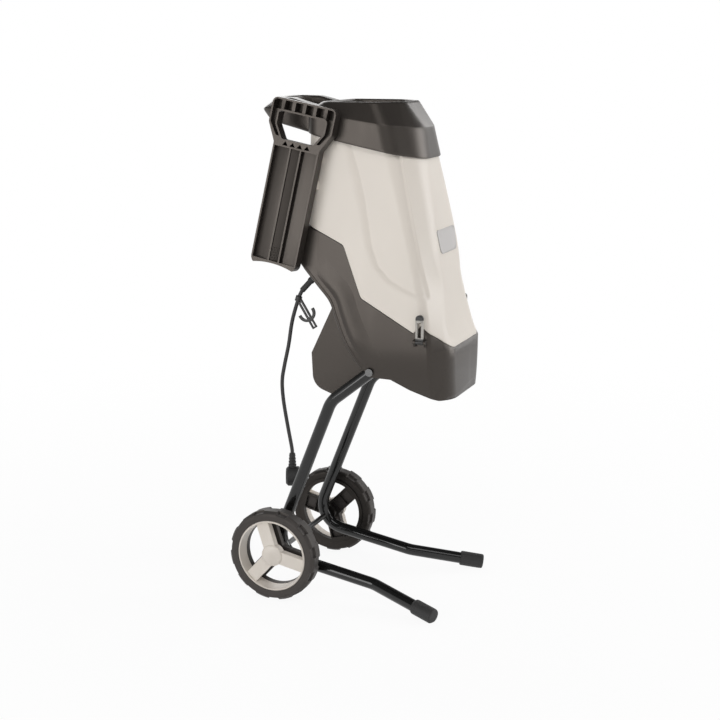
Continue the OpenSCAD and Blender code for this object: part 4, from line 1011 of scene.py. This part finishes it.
# Swelling beside that edge: direction off it, Y and Z, distances, and height off the flank there
SWELL_WAY = np.array([-0.85, 0.52])
SWELL_AT = np.array([8, 9.5, 11.5, 13.5, 15.5, 17.5, 19.5, 22, 25, 29, 33, 38, 43, 48])
SWELL_OUT = np.array([-0.6, 0.3, 1.1, 1.9, 2.5, 2.85, 3.0, 3.0, 2.8, 2.4, 1.8, 1.0, 0.3, -0.4])
# Floors between the pusher's ribs: from and to across it, depth in the middle, slope to the rear
PUSHER_FLOORS = ((-41.5, -17, 18.8, 0), (-17.5, -11, 12, 0), (-9, 9, 15.4, -0.4),
                 (11, 41.5, 16.3, 0.2))
# Their ends along the pusher
PUSHER_RUN = (-207.6, -7.6)
# Floor of the pusher's grip at three stations: inner and outer place across, then along
GRIP_FLOOR = np.array([[32, 42, 8, 8], [47.6, 58.4, 29, 31], [47.6, 58.4, 54, 54]])
# Pips near the pusher's end: how many in all and in a row, radius and height, pitch across and
# along, and the first row's place along
PIPS, PIP_ROW, PIP_R, PIP_H = 20, 4, 1.5, 1.2
PIP_ACROSS, PIP_ALONG, PIP_FROM = 4.2, 4.4, -201
# The base's rounded back, Y: where it starts on the flanks, where its top starts to fall, and its
# rear face; the radius of its corners; and how far its hems are turned in and forward
BACK_FROM, BACK_FALL, BACK_Y, BACK_R = 99, 118, 146.0, 22.0
HEM_IN, HEM_FORWARD = 6, 9
# Upper edge of the rear panel with the controls, Y and Z, and its slope down to the front
CONTROL_Y, CONTROL_Z, CONTROL_SLOPE = 136, 194, 74 / 66


class SHREDDER_OT_trim(bpy.types.Operator):
    """Face of the pusher, the base's rounded back and the lip along its rear edge"""

    bl_idname = "shredder.trim"
    bl_label = "Trim"

    def execute(self, context):
        made(context)
        joined_piece("pusher_face", self.face(), "dark", "pusher")
        place_piece("base_back", self.back(), "dark", "base_housing", adds=True)
        route = smooth_route(REAR_EDGE, 6)
        place = np.arange(len(route))
        ends = np.minimum(1, np.minimum(place, place[::-1]) / 3)
        girth = (0.4 + 3.9 * np.sqrt(ends)) * MM
        lips = []
        for side in (-1, 1):
            spine = np.column_stack([side * (half_width(route[:, 1]) - 3.4), route])
            lips.append(grid_mesh("lip", swept_tube(to_row(spine), girth, 20)))
            lips.append(self.swell(side, route[3:-2]))
        joined_piece("base_lip", lips, "dark", "base_housing")
        return {"FINISHED"}

    def swell(self, side, route):
        """Swelling of a flank beside its rear edge: a steep bank behind, a long fall in front.

        Its height at each distance from the edge fades along the edge at both ends.
        """
        end = np.arange(len(route))
        fade = ease(end / 7) * ease(end[::-1] / 9)
        flat = route[:, None] + SWELL_AT[:, None] * SWELL_WAY
        lift = np.where(SWELL_OUT > 0, SWELL_OUT * fade[:, None], SWELL_OUT)
        x = side * (half_width(flat[..., 1]) + lift)
        grid = np.concatenate([x[..., None], flat], -1)
        return grid_mesh("swell", to_row(grid)[:, ::-side], wrap=False, caps=False)

    def face(self):
        """Floors between the pusher's ribs, floors in its grip and a patch of pips near its end.

        A floor lies at its depth in its middle and falls off to the rear by its slope.
        """
        parts = []
        for low, high, depth, slope in PUSHER_FLOORS:
            foot, head = (on_pusher((low + high) / 2, z, depth) for z in PUSHER_RUN)
            across = on_pusher(1, 0, -slope) - on_pusher(0, 0, 0)
            parts.append(rounded_bar("floor", foot, head, high - low, 2, 0.4, across))
        for side in (-1, 1):
            ring = on_pusher(side * GRIP_FLOOR[:, [0, 1, 1, 0]], GRIP_FLOOR[:, [2, 3, 3, 2]],
                             np.array([11, 11, 8, 8]))
            parts.append(grid_mesh("grip_floor", to_row(ring)[:, ::side]))
        angle = np.linspace(0, 2 * np.pi, 10, endpoint=False)
        bow = np.linspace(0, np.pi / 2, 5)[:, None] * 0.97
        out = PIP_R * np.cos(bow)
        for k in range(PIPS):
            row, place = divmod(k, PIP_ROW)
            y = (place - 1.5) * PIP_ACROSS + (row % 2 - 0.5) * 2
            z = PIP_FROM + row * PIP_ALONG
            pip = on_pusher(y + out * np.cos(angle), z + out * np.sin(angle),
                            16.3 + 0.4 * y + PIP_H * np.sin(bow))
            parts.append(grid_mesh("pip", to_row(pip)[:, ::-1]))
        return parts

    def back(self):
        """Rounded rear of the base: its flanks carried on behind the hinge, with a rear face.

        In plan each flank turns in by a quarter circle. Each column runs from the rear panel's
        slope up to just below the seam, and a hem is turned in at both ends.
        """
        angle = np.linspace(0, np.pi / 2, 12)
        start = BACK_Y - BACK_R
        run = np.linspace(BACK_FROM, start, 8)[:-1]
        y = np.concatenate([run, start + BACK_R * np.sin(angle), np.full(5, BACK_Y)])
        inset = np.concatenate([np.zeros(len(run)), BACK_R * (1 - np.cos(angle)),
                                np.linspace(BACK_R + 16, 100, 5)])
        y, inset = np.concatenate([y, y[::-1]]), np.concatenate([inset, inset[::-1]])
        side = np.repeat([-1, 1], len(y) // 2)
        low = CONTROL_Z + (y - CONTROL_Y) * CONTROL_SLOPE + 1.5
        high = np.minimum(seam_height(y) - 1.6, HINGE_Z - 10 * ease((y - BACK_FALL) / 26))
        z = lerp(low, high, np.linspace(0, 1, 14)[:, None])
        x = side * (half_width(z) + 0.15 - inset)
        wall = np.stack([x, np.broadcast_to(y, x.shape), z], -1)
        in_low, in_high = wall[:1].copy(), wall[-1:].copy()
        for ring, drop in ((in_low, -7), (in_high, -2)):
            ring[..., 0] -= side * np.where(y < BACK_Y, HEM_IN, 0)
            ring[..., 1] -= np.where(y > BACK_FALL, HEM_FORWARD, 0)
            ring[..., 2] += drop
        grid = np.concatenate([in_low, wall, in_high])
        return grid_mesh("base_back", to_row(grid)[:, ::-1], wrap=False, caps=False)


# Wheel in millimetres: rim and tread radius, and width
RIM_R, TREAD_R, TREAD_W = 67.4, 85, 36
# Pockets along each shoulder of the tread: count, depth and half their length in degrees
POCKETS, POCKET_DEPTH, POCKET_HALF = 11, 4.0, 7.2
# Places across at which the inner and the outer ones start, and the width of their step there
POCKET_IN, POCKET_OUT, POCKET_STEP = 13.7, 22.3, 1.2
# Degrees by which the right wheel has rolled, and where the pockets start
ROLLED, POCKET_START = -13, 170
# Tyre's section from the inner rim over the tread to the outer rim: place across and radius
TYRE_AT = np.array([2, 0.4, 0, 1.2, 2.5, 3.8, 5, 8, 12, 12.5, 13.1, 13.7, 14.2, 18, 21.8, 22.3,
                    22.9, 23.5, 24, 28, 31, 32.2, 33.5, 34.8, 36, 35.7, 35])
SHOULDER = [RIM_R - 0.3, 75, 80, 81.2, 82.5, 83.8]
TYRE_R = np.array([*SHOULDER, *[TREAD_R] * 15, *SHOULDER[::-1]])


def inside_rim(node):
    """Mesh of the CAD wheel's triangles whose corners all lie within the rim, without the tyre."""
    source = NODE[node].data
    at = read(source.vertices, "co", 3, np.float32)
    corners = read(source.loops, "vertex_index", 1, np.int32).reshape(-1, 3)
    near = np.hypot(*(at[:, 1:] - AXLE[1:]).T) < (RIM_R + 0.6) * MM
    used, index = np.unique(corners[near[corners].all(1)], return_inverse=True)
    mesh = bpy.data.meshes.new(node + "_hub")
    mesh.from_pydata(at[used].tolist(), [], index.reshape(-1, 3).tolist())
    return mesh


def tyre_grid(side, outer_face):
    """Tyre about the axle: a radius for each place across, by angle round the wheel, less pockets.

    Pockets lie along both shoulders, those of the inner one half a pitch on. A pocket's share is
    an eased step round the wheel times an eased step across, and it cuts down to one radius.
    """
    angle = np.arange(720) / 2
    pitch = 360 / POCKETS
    outer, inner = (ease(POCKET_HALF - np.abs((angle - POCKET_START + shift) % pitch - pitch / 2))
                    for shift in (pitch / 2, 0))
    share = np.maximum(ease((TYRE_AT - POCKET_OUT) / POCKET_STEP)[:, None] * outer,
                       ease((POCKET_IN - TYRE_AT) / POCKET_STEP)[:, None] * inner)
    radius = TYRE_R[:, None]
    radius = (radius - np.maximum(0, radius - TREAD_R + POCKET_DEPTH) * share) * MM
    x = side * (outer_face - (TREAD_W - TYRE_AT) * MM)
    turn = np.radians(angle)
    grid = np.stack(np.broadcast_arrays(x[:, None], AXLE[1] + radius * np.cos(turn),
                                        AXLE[2] + radius * np.sin(turn)), -1)
    return grid[:, ::side]


# Nodes that are shown as rounded copies, and nodes that only take a finish, by finish
ROUNDED = {
    "dark": ["discharge_chute", "rear_panel", "cutter_deck", "pusher", "feed_chute"],
    "black": ["switch_body", "overload_breaker"],
    "latch": ["latch_left", "latch_right"],
    "red": ["rocker_switch"],
    "blade": ["knife_disc", "knives"]}
PLAIN = {
    "bolt": ["axle", "axle_clips", "stand_bolts", "stand_nuts"],
    "steel": ["deck_screws", "motor_screws", "latch_pins", "hinge_pins", "upper_bearing",
              "lower_bearing", "motor_shaft", "knife_screws", "disc_nut"],
    "core": ["motor_stator", "armature"],
    "copper": ["field_windings", "commutator"],
    "black": ["brush_holders", "motor_bracket", "cooling_fan"],
    "cream": ["reset_button"]}


class SHREDDER_OT_mouldings(bpy.types.Operator):
    """Rounded copies of base, chute, pusher, wheels, latches and controls; finishes of the rest"""

    bl_idname = "shredder.mouldings"
    bl_label = "Mouldings"

    def execute(self, context):
        rounding = made(context).edge_round
        for finish, nodes in ROUNDED.items():
            for node in nodes:
                fine_copy(node, finish, rounding)
        outer_face = max(abs(corner[0]) for corner in NODE["wheel_left"].bound_box)
        rolled = turned("X", ROLLED, AXLE)
        for side, name, roll in ((1, "wheel_left", None), (-1, "wheel_right", rolled)):
            grid_piece("tyre_" + name, tyre_grid(side, outer_face), "tyre", name, adds=True,
                       caps=False)
            fine_copy(name, "tyre", rounding, turn=roll, source=inside_rim(name))
            fine_copy(name.replace("wheel", "wheel_cover"), "cover", rounding, turn=roll)
        base = fine_copy("base_housing", "dark", 0.0, 28)
        flank_normals(base.data)
        for finish, nodes in PLAIN.items():
            for node in nodes:
                NODE[node].data.materials.clear()
                NODE[node].data.materials.append(MATERIALS[finish])
        return {"FINISHED"}


class SHREDDER_PT_panel(bpy.types.Panel):
    """Sizes, colours and steps of the shredder"""

    bl_label = "Garden Shredder"
    bl_idname = "SHREDDER_PT_panel"
    bl_space_type = "VIEW_3D"
    bl_region_type = "UI"
    bl_category = "Shredder"

    def draw(self, context):
        for group in (context.scene.shredder_sizes, context.scene.shredder_colours):
            box = self.layout.box()
            for name in group.__annotations__:
                box.prop(group, name)
        for step in STEPS:
            self.layout.operator(step.bl_idname)


STEPS = (SHREDDER_OT_stage, SHREDDER_OT_lead, SHREDDER_OT_stand, SHREDDER_OT_hopper,
         SHREDDER_OT_collar, SHREDDER_OT_mouldings, SHREDDER_OT_trim)
CLASSES = (ShredderSizes, ShredderColours, *STEPS, SHREDDER_PT_panel)


def register():
    for cls in CLASSES:
        bpy.utils.register_class(cls)
    bpy.types.Scene.shredder_sizes = PointerProperty(type=ShredderSizes)
    bpy.types.Scene.shredder_colours = PointerProperty(type=ShredderColours)


def unregister():
    del bpy.types.Scene.shredder_colours
    del bpy.types.Scene.shredder_sizes
    for cls in reversed(CLASSES):
        bpy.utils.unregister_class(cls)


def main():
    register()
    bpy.ops.shredder.stage()
    bpy.ops.shredder.lead()
    bpy.ops.shredder.stand()
    bpy.ops.shredder.hopper()
    bpy.ops.shredder.collar()
    bpy.ops.shredder.mouldings()
    bpy.ops.shredder.trim()


if __name__ == "__main__":
    main()
